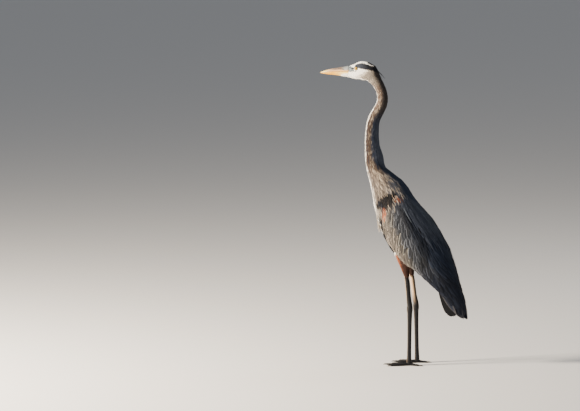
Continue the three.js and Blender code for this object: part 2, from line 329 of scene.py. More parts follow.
# %% Measure places on the line
def place_on_line(points):
    """Each point's distance along the line, its share of the way from the back (0) to the belly (1), and the
    line's direction beside it."""
    points = np.asarray(points, float)
    flat = points[:, [0, 2]]
    nearest = np.concatenate(
        [
            np.argmin(((part[:, None, :] - fine_line[None]) ** 2).sum(2), axis=1)
            for part in np.array_split(flat, max(1, len(flat) // 20000))
        ]
    )
    tangent = fine_tangent[nearest]
    dorsal = np.stack([-tangent[:, 1], tangent[:, 0]], 1)
    above = ((flat - fine_line[nearest]) * dorsal).sum(1)
    share = np.arctan2(np.abs(points[:, 1]), above) / math.pi
    return fine_along[nearest], share, np.stack([tangent[:, 0], np.zeros(len(tangent)), tangent[:, 1]], 1)


NECK_SPOTS = np.array([spot(-80, 0, 1043), spot(-160, 0, 1043), spot(-118, -20, 1043)])
print("shares at the neck's back, front and side:", place_on_line(NECK_SPOTS)[1].round(2))

# %% [markdown]
# ## Finer faces for the face
# Lids and lores need more faces than the rest of the skin. The head's edges are cut once more, and those
# round the eyes twice. A little smoothing then takes away the old facets.

# %% Refine the head
def refine(mesh, chosen, rounds):
    """Cuts the edges whose ends are both chosen, and smooths there."""
    shape = bmesh.new()
    shape.from_mesh(mesh)
    edges = [edge for edge in shape.edges if all(chosen(vertex.co) for vertex in edge.verts)]
    bmesh.ops.subdivide_edges(shape, edges=edges, cuts=1, use_grid_fill=True)
    inside = [vertex for vertex in shape.verts if chosen(vertex.co)]
    for _ in range(rounds):
        bmesh.ops.smooth_vert(
            shape, verts=inside, factor=0.5, use_axis_x=True, use_axis_y=True, use_axis_z=True
        )
    bmesh.ops.triangulate(shape, faces=[face for face in shape.faces if len(face.verts) > 4])
    shape.to_mesh(mesh)
    shape.free()


HEAD_END_X, HEAD_FOOT_Z = -150, 1095
FINE_ROUND_EYE = 13


def on_head(point):
    return point.x < plumb_x + HEAD_END_X * MM and point.z > HEAD_FOOT_Z * MM


def near_eye(point):
    return math.hypot(point.x - eye_centre["left"].x, point.z - eye_centre["left"].z) < FINE_ROUND_EYE * MM


refine(body_mesh, on_head, 1)
refine(body_mesh, near_eye, 1)
print("the body skin now has", len(body_mesh.polygons), "faces")

# %% [markdown]
# ## Parts of the plumage
# The coat differs from part to part: scale-like on the crown, hair-like down the neck, broad on the wing.
# Each point of the skin takes the name of the CAD node that lies nearest, and from that the depth of its
# coat: the skin has to lie that far inside the solids, so that the feather tips reach the CAD outline.

# %% Name the parts
PART_NAMES = BODY_NODES + WING_NODES
PART_KIND = np.array([name.split("_")[0] for name in PART_NAMES])


def tree_of(names):
    """A search tree of some CAD nodes' faces, and the index of the node that each face is from."""
    points, faces, owners = [], [], []
    for index, name in enumerate(names):
        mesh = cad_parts[name].data
        first = len(points)
        points += [vertex.co for vertex in mesh.vertices]
        faces += faces_of(mesh, first)
        owners += [index] * len(mesh.polygons)
    return face_finder(points, faces), owners


part_tree, face_part = tree_of(PART_NAMES)


def parts_at(points):
    """The index in PART_NAMES of the solid nearest to each point."""
    return np.array([face_part[part_tree.find_nearest(Vector(p))[2]] for p in points])


def move_points(mesh, points):
    """Puts the mesh's points where the array says."""
    mesh.vertices.foreach_set("co", points.astype(np.float32).ravel())
    mesh.update()


def edge_ends(mesh):
    """The two point numbers of each edge, as rows."""
    return read_all(mesh.edges, "vertices", 2, np.int32)


def ramp(value, low, high):
    """0 below low, 1 above high, and a smooth slope between."""
    t = np.clip((np.asarray(value, float) - low) / (high - low), 0, 1)
    return t * t * (3 - 2 * t)


def between(first, second, share):
    """A number part of the way from one to another."""
    return first * (1 - share) + second * share


def mix(first, second, share):
    """A colour part of the way from one to another, point by point."""
    share = np.asarray(share, float)
    share = share[..., None] if share.ndim else share
    return between(np.asarray(first, float), np.asarray(second, float), share)


print(len(face_part), "CAD faces have the names of", len(PART_NAMES), "parts")

# %% [markdown]
# ## Room for the coat
# A heron's down lies close on its face and thick on its trunk. The skin is drawn in by that depth from part
# to part, and the depth is evened out along the edges of the mesh, so that no step is left where two parts
# meet.

# %% Sink the skin under its coat
COAT_DEPTH = {
    "head": 1.5, "neck_upper": 2.4, "neck_middle": 2.8, "neck_lower": 4.2, "trunk": 5.0,
    "thigh_left": 2.6, "thigh_right": 2.6, "wing_left": 5.0, "wing_right": 5.0,
}
BILL_ROOT_X = -251
FACE_END_X = -215
FACE_COAT = 0.6


def sink_skin(mesh):
    """Draws the skin in by the depth of its coat and by the swelling, and gives each point's part."""
    points, normals = mesh_arrays(mesh)
    part = parts_at(points)
    depth = np.array([COAT_DEPTH[name] for name in PART_NAMES])[part]
    past_face = ramp(in_mm(points)[:, 0], BILL_ROOT_X, FACE_END_X)
    depth = np.where(PART_KIND[part] == "head", between(FACE_COAT, depth, past_face), depth)
    a, b = edge_ends(mesh).T
    links = np.bincount(a, minlength=len(points)) + np.bincount(b, minlength=len(points))
    for _ in range(10):
        around = np.bincount(a, depth[b], len(points)) + np.bincount(b, depth[a], len(points))
        depth = 0.5 * depth + 0.5 * around / links
    move_points(mesh, points - normals * (depth[:, None] * MM + SWELL))
    return part


skin_part = sink_skin(body_mesh)
print("points of each part:", dict(zip(PART_NAMES, np.bincount(skin_part).tolist())))

# %% [markdown]
# The feathered thigh closes round the bare leg without a step: the thigh's lower end is drawn in a little,
# and the top of the shank is drawn up inside it, so that the last thigh feathers lie on the leg.

# %% Close the knees
KNEE_TOP_Z = 392
KNEE_TAPER = 0.10
SHANK_TOP = 24.0
SHANK_LEAN = 0.30
SHANK_TAPER = 0.25


def close_knees():
    """Tapers the thighs' lower ends and stretches the shanks' tops up into them."""
    thigh_points, leg_points = mesh_arrays(body_mesh)[0], mesh_arrays(leg_mesh)[0]
    thighs, legs = in_mm(thigh_points), in_mm(leg_points)
    on_thigh = PART_KIND[skin_part] == "thigh"
    for side, sign in SIDES.items():
        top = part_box(f"shank_{side}")[1].z / MM
        under_knee = (np.abs(legs[:, 2] - (top - 12)) < 6) & (legs[:, 1] * sign > 0)
        axis = legs[under_knee, :2].mean(0)
        chosen = on_thigh & (thighs[:, 1] * sign > 0)
        pull = KNEE_TAPER * ramp(thighs[chosen, 2], KNEE_TOP_Z, top)
        thigh_points[chosen, :2] += (axis - thighs[chosen, :2]) * pull[:, None] * MM
        chosen = (legs[:, 1] * sign > 0) & (legs[:, 2] > top - 12)
        rise = ramp(legs[chosen, 2], top - 10, top)
        leg_points[chosen, :2] += (axis - legs[chosen, :2]) * SHANK_TAPER * rise[:, None] * MM
        leg_points[chosen, 0] -= SHANK_LEAN * SHANK_TOP * rise * MM
        leg_points[chosen, 2] += SHANK_TOP * rise * MM
    move_points(body_mesh, thigh_points)
    move_points(leg_mesh, leg_points)


close_knees()
print("the shanks reach up to", round(max(v.co.z for v in leg_mesh.vertices) / MM), "mm")

# %% [markdown]
# ## Colours
# One function paints everything. It takes points and gives the colour that a heron has there, with painted
# light and shade worked into neck, wing and thigh, so that skin and feathers can't disagree. On the head the
# marks are measured from the eye. Down the neck they are bands: dark behind, partly painted shade, taupe at
# the side, white in front. On the wing, pale coverts in front, paler still with painted sunlight, pass into a
# slate back darkened by painted shade.

# %% Mix the palette
def linear(red, green, blue):
    """A colour given on a 0 to 255 scale, as the linear light that materials use."""
    value = np.array([red, green, blue]) / 255
    return np.where(value <= 0.04045, value / 12.92, ((value + 0.055) / 1.055) ** 2.4)


WHITE = linear(250, 246, 238)
CREAM = linear(206, 190, 168)
TAUPE = linear(102, 85, 73)
UMBER = linear(60, 46, 38)
BROWN_GREY = linear(48, 43, 41)
PEARL = linear(156, 146, 134)
SLATE = linear(68, 73, 84)
GREY = linear(65, 68, 74)
DEEP_SLATE = linear(36, 45, 62)
NIGHT = linear(21, 26, 38)
INK = linear(12, 13, 17)
CHESTNUT = linear(150, 86, 58)
LORE_GREY = linear(140, 150, 154)


def curve_through(values, *knots):
    """Straight lines through (value, result) knots."""
    return np.interp(values, [k[0] for k in knots], [k[1] for k in knots])


print("slate in linear light is", SLATE.round(3))

# %% [markdown]
# ### The head's marks
# The head is white with a grey wash on the hind cheek. A black band starts over the eye, widens backwards and
# runs into the nape. Its borders are given as heights above the eye at distances behind it, since those are
# what one measures on a real head.

# %% Paint the head
def in_ellipse(place, centre, half_long, half_wide, slope):
    """1 inside an ellipse seen from the side, 0 outside, with a soft edge. slope tilts its long axis."""
    x, z = place[:, 0] - centre[0], place[:, 2] - centre[1]
    long, wide = x * math.cos(slope) + z * math.sin(slope), z * math.cos(slope) - x * math.sin(slope)
    return ramp((long / half_long) ** 2 + (wide / half_wide) ** 2, 1.2, 0.8)


def head_colours(place, share):
    """The colour of the head: white, a grey hind cheek, and the black band into the nape."""
    behind = place[:, 0] - EYE_X
    above = place[:, 2] - EYE_Z
    side = np.abs(place[:, 1])
    hind_cheek = ramp(behind - 1.5 * above, 34, 84) * ramp(share, 0.94, 0.80)
    mottle = 0.35 * np.sin(behind * 0.45 + 1.2 * np.sin(above * 0.3)) * np.sin(above * 0.6 + behind * 0.2)
    colour = mix(mix(WHITE, CREAM, hind_cheek), PEARL * 0.62, ramp(hind_cheek + mottle, 0.35, 0.95))
    band_top = curve_through(behind, (-5, 13), (4, 18), (17, 21.5), (34, 20.5), (51, 14), (63, 9), (76, 4))
    band_foot = curve_through(behind, (-5, 9), (0, 5), (20, 0.5), (43, -4.5), (68, -8), (90, -18))
    over_foot = ramp(above - band_foot, -1.0, 1.0)
    band = over_foot * ramp(band_top - above, -1.0, 1.0) * ramp(behind, -6, -2) * ramp(side, 2, 5)
    hind_crown = ramp(behind, 40, 48) * ramp(above - band_top, 2.5, 4.5)
    nape = ramp(behind, 66, 74) * over_foot * ramp(above, -26, -20)
    colour = mix(colour, BROWN_GREY * 1.3, ramp(behind, 66, 78) * ramp(share, 0.36, 0.24))
    black = mix(SLATE * 0.62, INK * 1.6, ramp(behind, 10, 60))
    return mix(colour, black, np.maximum(np.maximum(band, nape), hind_crown))


CROWN_SPOT = np.array([[-200.0, 0, 1180]])
print("the crown is", head_colours(CROWN_SPOT, np.zeros(1)).round(2))

# %% [markdown]
# ### Neck, shoulder and belly
# The neck's colours are bands round it, so they are chosen by the share of the way from back to front. The
# borders of the bands move with the height. Where neck and wing meet sits a black patch with rusty spots,
# laid on as ellipses.

# %% Paint the neck, shoulder and trunk
def shoulder_marks(colour, place):
    """The black patch where neck and wing meet, with rusty spots behind it."""
    to_side = ramp(np.abs(place[:, 1]), 12, 20)
    black = in_ellipse(place, (-89, 640), 52, 22, math.radians(38))
    rust = np.maximum(
        in_ellipse(place, (-54, 652), 9, 6, 0.0), in_ellipse(place, (-37, 645), 9, 5, math.radians(-25))
    )
    return mix(mix(colour, INK * 0.8, black * to_side), CHESTNUT * 0.8, rust * to_side * 0.8)


NECK_DARK_EDGE = (
    (640, 0.18), (726, 0.18), (765, 0.38), (805, 0.54), (883, 0.50), (962, 0.52), (1040, 0.38), (1120, 0.20),
)


def neck_colours(place, share):
    """The colour of the neck: a dark back, partly its own slate and partly painted shade, lightened further
    back by painted sky light, streaky sides that grow greyer low down, and a white front.
    """
    height = place[:, 2]
    dark_edge = curve_through(height, *NECK_DARK_EDGE)
    dark = mix(DEEP_SLATE * 0.75, BROWN_GREY * 1.3, ramp(height, 930, 1010))
    side = mix(TAUPE * 0.8, PEARL * 0.60, ramp(height, 1075, 1115))
    side = mix(side, UMBER * 0.85, ramp(height, 1010, 930) * ramp(height, 740, 800))
    side = mix(side, TAUPE * 0.85, ramp(height, 780, 740))
    colour = mix(side, PEARL * 0.52, 0.6 * ramp(height, 800, 690))
    low = ramp(height, 770, 730)
    colour = mix(colour, SLATE * 0.9, low * ramp(place[:, 0], -100, -74) * 0.75)
    greyed = mix(BROWN_GREY, SLATE, low)
    colour = mix(colour, greyed, (0.6 + 0.3 * low) * ramp(share, dark_edge + 0.16 + 0.10 * low, dark_edge))
    # Behind the dark edge the neck is darkened, partly its own dark slate and partly painted shade.
    colour = mix(colour, mix(dark, DEEP_SLATE * 1.2, low), ramp(share, dark_edge + 0.04, dark_edge - 0.04))
    # Painted light: further back the neck is lightened to slate, as sky light falling on it.
    painted_sky_light = ramp(share, dark_edge - 0.12, dark_edge - 0.30)
    painted_sky_light *= ramp(height, 980, 900) * ramp(height, 740, 780)
    colour = mix(colour, SLATE * 1.2, painted_sky_light * 0.7)
    front = curve_through(height, (560, 0.88), (700, 0.87), (850, 0.86), (960, 0.84), (1100, 0.86))
    return mix(colour, WHITE, ramp(share, front - 0.03, front + 0.06))


def trunk_colours(place, share):
    """The colour of the trunk: dark, but pale at the breast and under the tail."""
    height = place[:, 2]
    colour = mix(DEEP_SLATE, PEARL * 0.9, ramp(share, 0.30, 0.5))
    colour = mix(colour, INK, ramp(height, 592, 560) * ramp(height, 330, 380))
    colour = mix(colour, WHITE, ramp(share, 0.92, 0.98) * ramp(height, 505, 530))
    return mix(colour, PEARL, ramp(height, 380, 300) * ramp(share, 0.5, 0.7))


NECK_SPOT = np.array([[-120.0, 20, 900]])
print("the neck is", [neck_colours(NECK_SPOT, share).round(2).tolist()[0] for share in (0.0, 0.6, 1.0)])

# %% [markdown]
# ### How far across the wing
# The folded wing is a long leaf, so its colours follow how far down and how far back on it a point lies. The
# front and back edges are found by casting rays at the CAD wing from before and behind, at many heights.

# %% Find the edges of the wing
WING_TOP, WING_TIP = 690, 190
EDGE_HEIGHTS = np.arange(196.0, 664.0, 12.0)
wing_tree = {side: tree_of([f"wing_{side}"])[0] for side in SIDES}


def wing_edge(z, start_x, direction):
    """How far the folded wing reaches towards start_x at a height, in mm behind the plumb line."""
    hits = [wing_tree["right"].ray_cast(spot(start_x, y, z), direction)[0] for y in range(4, 84, 5)]
    reach = [(hit.x - plumb_x) / MM for hit in hits if hit]
    return min(reach) if start_x < 0 else max(reach)


front_edges = np.array([wing_edge(z, -400, BACK) for z in EDGE_HEIGHTS])
back_edges = np.array([wing_edge(z, 500, -BACK) for z in EDGE_HEIGHTS])


def across_wing(place):
    """How far back on the folded wing a point is, from 0 at its front edge to 1 at the back's outline."""
    front = np.interp(place[:, 2], EDGE_HEIGHTS, front_edges)
    back = np.interp(place[:, 2], EDGE_HEIGHTS, back_edges)
    return np.clip((place[:, 0] - front) / (back - front), 0, 1)


print("the wing is", round((back_edges - front_edges).max()), "mm across at its widest")

# %% [markdown]
# ### Wing and thigh
# Pale coverts fill the front of the wing, made paler by painted sunlight. Behind them lies painted shade
# where the back folds over them, then the slate back, darkened by painted shade and with painted light along
# its edge, and all of it darkens towards the tip. A rusty streak marks the wrist, and the front of the thigh
# is rusty too; the rest of the thigh is darkened by painted shade behind and inside.

# %% Paint the wing and the thigh
def wing_depth(place):
    """How far down the folded wing a point is, from 0 at the shoulder to 1 at the tip."""
    return (WING_TOP - place[:, 2]) / (WING_TOP - WING_TIP)


PALE_SUNLIT_COVERTS_REACH = ((0.1, 0.45), (0.24, 0.32), (0.40, 0.36), (0.55, 0.30), (0.70, 0.12), (0.9, 0.08))
FOLD_LINE = ((0.10, 0.45), (0.24, 0.55), (0.40, 0.66), (0.56, 0.46), (0.71, 0.06))
WRIST_EDGE = ((500, -88), (528, -98), (574, -108), (622, -104), (650, -92))


def wing_colours(place, _share):
    """The colour of the folded wing: pale coverts, paler with painted sunlight, painted shade where the back
    folds over them, a slate back with painted shade and painted light on its edge, and rust along the wrist.
    """
    down, back = wing_depth(place), across_wing(place)
    # Painted shade: the back of the wing is darkened to deep slate, as the side turned from the lamp.
    colour = mix(GREY * 0.6, DEEP_SLATE * 0.6, ramp(back, 0.42, 0.62))
    # The pale coverts in front: partly their own pale grey, partly painted sunlight.
    pale_to = curve_through(down, *PALE_SUNLIT_COVERTS_REACH)
    pale = ramp(back, pale_to, 0.0) * (1 - 0.85 * ramp(down, 0.50, 0.72))
    pale *= 0.2 + 0.8 * ramp(down, 0.10, 0.22)
    colour = mix(colour, PEARL * 0.32, pale)
    # Painted light: lighter slate along the back's edge and over the top of the back.
    lit_back = ramp(back, 0.62, 0.75) * ramp(down, 0.45, 0.30)
    lit_back += ramp(back, 0.30, 0.45) * ramp(down, 0.22, 0.16)
    colour = mix(colour, mix(SLATE * 0.8, SLATE * 1.5, ramp(down, 0.20, 0.10)), np.minimum(lit_back, 1) * 0.6)
    # Painted shade where the back folds over the coverts.
    fold_shade = ramp(np.abs(back - curve_through(down, *FOLD_LINE)), 0.13, 0.05) * ramp(down, 0.06, 0.14)
    colour = colour * (1 - 0.55 * fold_shade)[:, None]
    colour = mix(colour, NIGHT * 0.9, ramp(down, 0.58, 0.76))
    behind, height = place[:, 0], place[:, 2]
    edge = curve_through(height, *WRIST_EDGE)
    on_edge = ramp(behind, edge + 19, edge + 12)
    return mix(colour, CHESTNUT * 0.85, on_edge * ramp(height, 556, 566) * ramp(height, 626, 616))


def thigh_colours(place, _share):
    """The colour of the thigh: chestnut, with painted shade behind and inside, and white where it meets the
    belly.
    """
    behind = place[:, 0] + 0.25 * (place[:, 2] - 373)
    # Painted shade: the back of the chestnut thigh is darkened to brown-grey.
    colour = mix(CHESTNUT, BROWN_GREY * 0.4, ramp(behind, -38, -24) * 0.9)
    # Painted shade on the inner side.
    colour = mix(colour, BROWN_GREY * 0.5, ramp(np.abs(place[:, 1]), 40, 28) * 0.4)
    return mix(colour, WHITE, ramp(place[:, 2], 420, 432) * ramp(place[:, 0], -50, -56))


WING_SPOT = np.array([[0.0, 60, 500]])
print("the middle of the wing is", wing_colours(WING_SPOT, None).round(3))

# %% [markdown]
# ### Every part
# The painters are gathered in one table. A feather may stray a little from its own place when it picks a
# colour, which breaks up the borders as they are broken up on a real bird.

# %% Paint any point
PAINTERS = {
    "head": head_colours, "neck": neck_colours, "trunk": trunk_colours,
    "thigh": thigh_colours, "wing": wing_colours,
}
STRAY = {"head": 0.012, "neck": 0.035, "trunk": 0.03, "wing": 0.045, "thigh": 0.03}


def plumage_colours(points, part=None, stray=False):
    """The heron's colour at each point. With stray the borders between colours waver from feather to
    feather."""
    points = np.asarray(points, float)
    part = parts_at(points) if part is None else part
    share = place_on_line(points)[1]
    place = in_mm(points)
    colour = np.zeros((len(points), 3))
    kind = PART_KIND[part]
    if stray:
        amount = np.array([STRAY[name] for name in kind])
        share = share + random.normal(0, 1, len(share)) * amount
        place = place + random.normal(0, 1, place.shape) * amount[:, None] * 50
    for name, painter in PAINTERS.items():
        chosen = kind == name
        if chosen.any():
            colour[chosen] = painter(place[chosen], share[chosen])
    neck_like = (kind == "trunk") & (place[:, 2] > 560)
    if neck_like.any():
        blend_in = ramp(place[neck_like, 2], 570, 620)
        colour[neck_like] = mix(colour[neck_like], neck_colours(place[neck_like], share[neck_like]), blend_in)
    on_shoulder = (kind != "head") & (kind != "thigh")
    colour[on_shoulder] = shoulder_marks(colour[on_shoulder], place[on_shoulder])
    return colour


sample_colours = plumage_colours(mesh_arrays(body_mesh)[0], skin_part)
print("the skin's colours run from", sample_colours.min(0).round(3), "to", sample_colours.max(0).round(3))

# %% [markdown]
# ## Lids and lores
# A heron's eye sits in a low ring of bare skin. Everything within the ring is pushed back into the eyeball,
# so the ball shows through a round opening, and the rim is raised to hug it. From the eye to the bill runs a
# shallow groove of bare skin, the lore, along which the bird looks past its own bill.

# %% Shape the lids and lores
OPENING_RADIUS = 6.4
LID_RADIUS = 10.0
LID_HEIGHT = 0.9
INSIDE_EYE = 2.6
LORE_GROOVE = 1.1
BILL_AXIS_Z = 1145
FACE_OVER_BILL = 5.0


def lid_distance(behind, above):
    """Distance from the eye's axis, squeezed a little, as the lids are wider than high."""
    return np.hypot(behind * 0.94, above)


def shape_face(mesh):
    """Presses the lores in and shapes the ring of the lids."""
    points = mesh_arrays(mesh)[0]
    place = in_mm(points)
    behind, above = place[:, 0] - EYE_X, place[:, 2] - EYE_Z
    side = np.abs(place[:, 1])
    sideways = ramp(side, 3, 7)
    from_groove = (above + 1.5 - 0.12 * behind) / 3.6
    groove = ramp(behind, -32, -24) * ramp(behind, -3, -9) * np.exp(-(from_groove**2))
    side = side - LORE_GROOVE * groove * sideways
    ring = lid_distance(behind, above)
    bulge = np.sqrt(np.clip((EYE_RADIUS / MM) ** 2 - np.minimum(ring, 7.0) ** 2, 0, None))
    ball = eye_centre["right"].y / MM + bulge
    lid = ball + LID_HEIGHT
    hidden = ball - INSIDE_EYE
    shaped = between(hidden, lid, ramp(ring, OPENING_RADIUS - 0.5, OPENING_RADIUS + 0.5))
    shaped = between(shaped, side, ramp(ring, OPENING_RADIUS + 0.9, LID_RADIUS))
    chosen = (ring < LID_RADIUS) & (place[:, 1] != 0) & (side > 8)
    side = np.where(chosen, shaped, side)
    points[:, 1] = np.sign(place[:, 1]) * side * MM
    onto_bill = ramp(place[:, 0], BILL_ROOT_X + 6, BILL_ROOT_X)
    points[:, 0] -= onto_bill * FACE_OVER_BILL * MM
    points[:, 1] *= 1 - 0.10 * onto_bill
    points[:, 2] += (BILL_AXIS_Z - place[:, 2]) * 0.08 * onto_bill * MM
    move_points(mesh, points)


shape_face(body_mesh)
print("the lids stand", LID_HEIGHT, "mm off the eyeballs")

# %% [markdown]
# ## Scaly legs
# The legs are bare. Plates called scutes wrap the front of the tarsus and the tops of the toes, and small
# scales cover the rest. The scutes are raised in the mesh: each is full in its middle and drops at its lower
# edge. The small scales are left to the material.

# %% Raise the scutes
SCUTE_PITCH = 4.6
SCUTE_HEIGHT = 0.55
ANKLE_Z, TOE_TOP_Z = 222, 26


def raise_scutes(mesh):
    """Raises the scutes on the front of the tarsi and the tops of the toes."""
    points, normals = mesh_arrays(mesh)
    place = in_mm(points)
    in_front = ramp(-normals[:, 0], 0.1, 0.6)
    on_tarsus = ramp(place[:, 2], TOE_TOP_Z, TOE_TOP_Z + 8) * ramp(place[:, 2], ANKLE_Z + 60, ANKLE_Z + 30)
    plate = 1 - (place[:, 2] / SCUTE_PITCH % 1)
    lift = SCUTE_HEIGHT * in_front * on_tarsus * (plate - 0.5)
    reach = np.hypot(place[:, 0], place[:, 1] - np.sign(place[:, 1]) * 38)
    on_toe = ramp(normals[:, 2], 0.1, 0.7) * ramp(place[:, 2], TOE_TOP_Z, TOE_TOP_Z - 8)
    lift += SCUTE_HEIGHT * 0.8 * on_toe * (1 - (reach / (SCUTE_PITCH * 0.8) % 1) - 0.5)
    points += normals * (lift * MM)[:, None]
    points[:, 2] = np.maximum(points[:, 2], 0)
    move_points(mesh, points)


raise_scutes(leg_mesh)
print("the scutes are", SCUTE_PITCH, "mm apart")

# %% [markdown]
# ## Bare skin
# Lores, eye rim and mouth line have no feathers. How bare the face is decides both where the skin is painted
# grey and where no feather may root, so it is worked out once.

# %% Paint the bare face
def from_gape(behind, above):
    """How far a point lies above the line of the mouth, which runs on from the bill to under the eye."""
    return above + 12.0 - 0.055 * (behind + 31)


def bare_face(place):
    """How bare the face is at each point: the lores, the rim of the eye and the line of the mouth."""
    behind, above = place[:, 0] - EYE_X, place[:, 2] - EYE_Z
    side = np.abs(place[:, 1])
    rim = ramp(lid_distance(behind, above), 8.8, 7.8)
    lore_top = curve_through(behind, (-34, 30), (-26, 12), (-20, 7), (-8, 4.5))
    over_gape = from_gape(behind, above)
    lore = ramp(behind, -7, -10) * ramp(over_gape, 0.5, 1.5) * ramp(lore_top - above, -1, 1)
    gape = ramp(np.abs(over_gape), 1.6, 0.9) * ramp(behind, 4, 0)
    beside = np.maximum(ramp(side, 3, 5), ramp(behind, -24, -27))
    return np.maximum(np.maximum(rim, gape), lore) * beside


def face_colours(colour, place):
    """Bare skin over the plumage colours: blue-grey lores with dark flecks, and dark lines round the eye."""
    behind, above = place[:, 0] - EYE_X, place[:, 2] - EYE_Z
    beside = ramp(np.abs(place[:, 1]), 3, 5)
    flecks = np.sin(behind * 1.3 + 2 * np.sin(above * 0.9)) * np.sin(above * 1.5 + behind * 0.4)
    lore = mix(LORE_GREY, INK, ramp(flecks, 0.1, 0.5) * 0.85)
    colour = mix(colour, lore, bare_face(place))
    spot_ahead = ramp(np.hypot((behind + 14) * 0.6, above + 0.5), 4.2, 2.6)
    streak_ahead = ramp(np.abs(above - 3.5 + 0.10 * (behind + 26)), 1.5, 0.6) * ramp(behind, -18, -22)
    gape = ramp(np.abs(from_gape(behind, above)), 1.3, 0.7) * ramp(behind, 4, 0)
    under_eye = ramp(np.abs(above + 8.0), 2.0, 1.0) * ramp(np.abs(behind + 4), 11, 7)
    lid = ramp(np.abs(lid_distance(behind, above) - OPENING_RADIUS - 0.9), 1.2, 0.6)
    dark = np.max([spot_ahead, streak_ahead, gape, under_eye * 0.8, lid * 0.9], axis=0) * beside
    return mix(colour, INK * 1.4, dark * 0.9)


LORE_SPOT = np.array([[EYE_X - 16.0, 10, EYE_Z]])
print("how bare the middle of the lore is:", bare_face(LORE_SPOT))

# %% [markdown]
# The legs are dark, with painted light on the front of the shanks and tarsi. The far shank is painted lit all
# round.

# %% Paint the legs
# Dark leg skin, and the cream used for painted light on it.
LEG_BROWN = linear(17, 17, 19)
LEG_SUNLIT_CREAM = linear(176, 148, 118)


def leg_colours(place, normals):
    """The colour of the bare legs, with painted light where a point faces forwards, and all round the far
    shank.
    """
    shank = ramp(place[:, 2], ANKLE_Z + 6, ANKLE_Z + 70)
    sunlit_far_leg = place[:, 1] > 0
    # Painted light: pale where the skin faces the lamp in front, and nearly all round the far shank.
    in_front = np.where(sunlit_far_leg, ramp(-normals[:, 0], -0.45, 0.15), ramp(-normals[:, 0], 0.62, 0.84))
    colour = mix(LEG_BROWN, LEG_SUNLIT_CREAM * 1.5, shank * np.where(sunlit_far_leg, 0.12 + 0.88 * in_front, in_front))
    # Painted light on the front of the tarsi.
    on_tarsus = ramp(place[:, 2], ANKLE_Z + 20, ANKLE_Z - 10) * ramp(-normals[:, 0], 0.66, 0.88)
    return mix(colour, LEG_SUNLIT_CREAM * 0.7, on_tarsus * 0.6)


SHANK_SPOT = np.array([[50.0, -40, 320]])
print("the front of the near shank is", leg_colours(SHANK_SPOT, np.array([[-1.0, 0, 0]])).round(2))

# %% [markdown]
# ### Small tools for objects
# Everything from here on becomes an object, is painted point by point and shaded smooth. Some of it is
# unwrapped as well.

# %% Tools for objects
def paint_points(mesh, name, colours, alpha=None):
    """Stores a colour for each point, with an optional amount in its alpha."""
    layer = mesh.color_attributes.new(name, "FLOAT_COLOR", "POINT")
    alpha = np.ones(len(colours)) if alpha is None else alpha
    layer.data.foreach_set("color", np.column_stack([colours, alpha]).astype(np.float32).ravel())


def unwrap(item, name):
    """Unwraps an object's own shape onto a UV map of this name."""
    item.data.uv_layers.new(name=name)
    bpy.ops.object.select_all(action="DESELECT")
    bpy.context.view_layer.objects.active = item
    item.select_set(True)
    bpy.ops.object.mode_set(mode="EDIT")
    bpy.ops.mesh.select_all(action="SELECT")
    bpy.ops.uv.smart_project(angle_limit=math.radians(66), island_margin=0.003)
    bpy.ops.object.mode_set(mode="OBJECT")
    item.select_set(False)


def set_smooth(mesh):
    mesh.polygons.foreach_set("use_smooth", np.ones(len(mesh.polygons), bool))
    mesh.update()


print("faces to paint:", len(body_mesh.polygons) + len(leg_mesh.polygons))

# %% [markdown]
# ## The skin object
# Body skin and leg skin are joined into one object with two materials. The colours go on as an attribute of
# its points. It is unwrapped here too, since every vane of the coat is tied to its root's place on the
# unwrap.

# %% Make the skin
body_points = mesh_arrays(body_mesh)[0]
skin_part = parts_at(body_points)
body_tint = face_colours(plumage_colours(body_points, skin_part), in_mm(body_points))
leg_points, leg_normals = mesh_arrays(leg_mesh)
leg_tint = leg_colours(in_mm(leg_points), leg_normals)
skin_shape = bmesh.new()
skin_shape.from_mesh(body_mesh)
body_face_count = len(skin_shape.faces)
skin_shape.from_mesh(leg_mesh)
skin_shape.faces.ensure_lookup_table()
for face in skin_shape.faces[body_face_count:]:
    face.material_index = 1
skin_mesh = bpy.data.meshes.new("skin")
skin_shape.to_mesh(skin_mesh)
skin_shape.free()
paint_points(skin_mesh, "tint", np.concatenate([body_tint, leg_tint]))
skin = add_object("skin", skin_mesh)
set_smooth(skin_mesh)
unwrap(skin, "OFBake")
skin_points = mesh_arrays(skin_mesh)[0]
skin_tree = face_finder(skin_points, faces_of(skin_mesh))
print("the skin has", len(skin_mesh.polygons), "faces, of which", len(leg_mesh.polygons), "on the legs")

# %% [markdown]
# ## Where the feathers root
# Real feathers stand in even rows, each a little way from the next. Here many random places are drawn on the
# skin, and one is kept only if it lies far enough from those kept before. How far that is, and how long and
# wide the feather grows, changes smoothly over the bird: fine scales on the face, hair on the neck, broad
# coverts on the wing.

# %% Feather sizes
NEVER = 1e3
COVERT_END_Z = 268
NECK_SPACING = ((640, 3.7), (720, 3.4), (800, 2.7), (1000, 2.3), (1110, 2.0))
NECK_LENGTH = ((640, 34), (720, 28), (800, 20), (1000, 14), (1110, 11))
NECK_WIDTH = ((640, 3.9), (720, 3.6), (800, 3.0), (1000, 2.6), (1110, 2.3))
WING_SPACING = ((0, 3.6), (0.12, 4.8), (0.3, 7.0), (1, 8.6))
WING_LENGTH = ((0, 26), (0.12, 38), (0.3, 58), (1, 66))
WING_WIDTH = ((0, 6.5), (0.12, 8.5), (0.3, 12.5), (1, 15))
NECK_FOOT_Z = 590
HIND_HEAD_X = -165


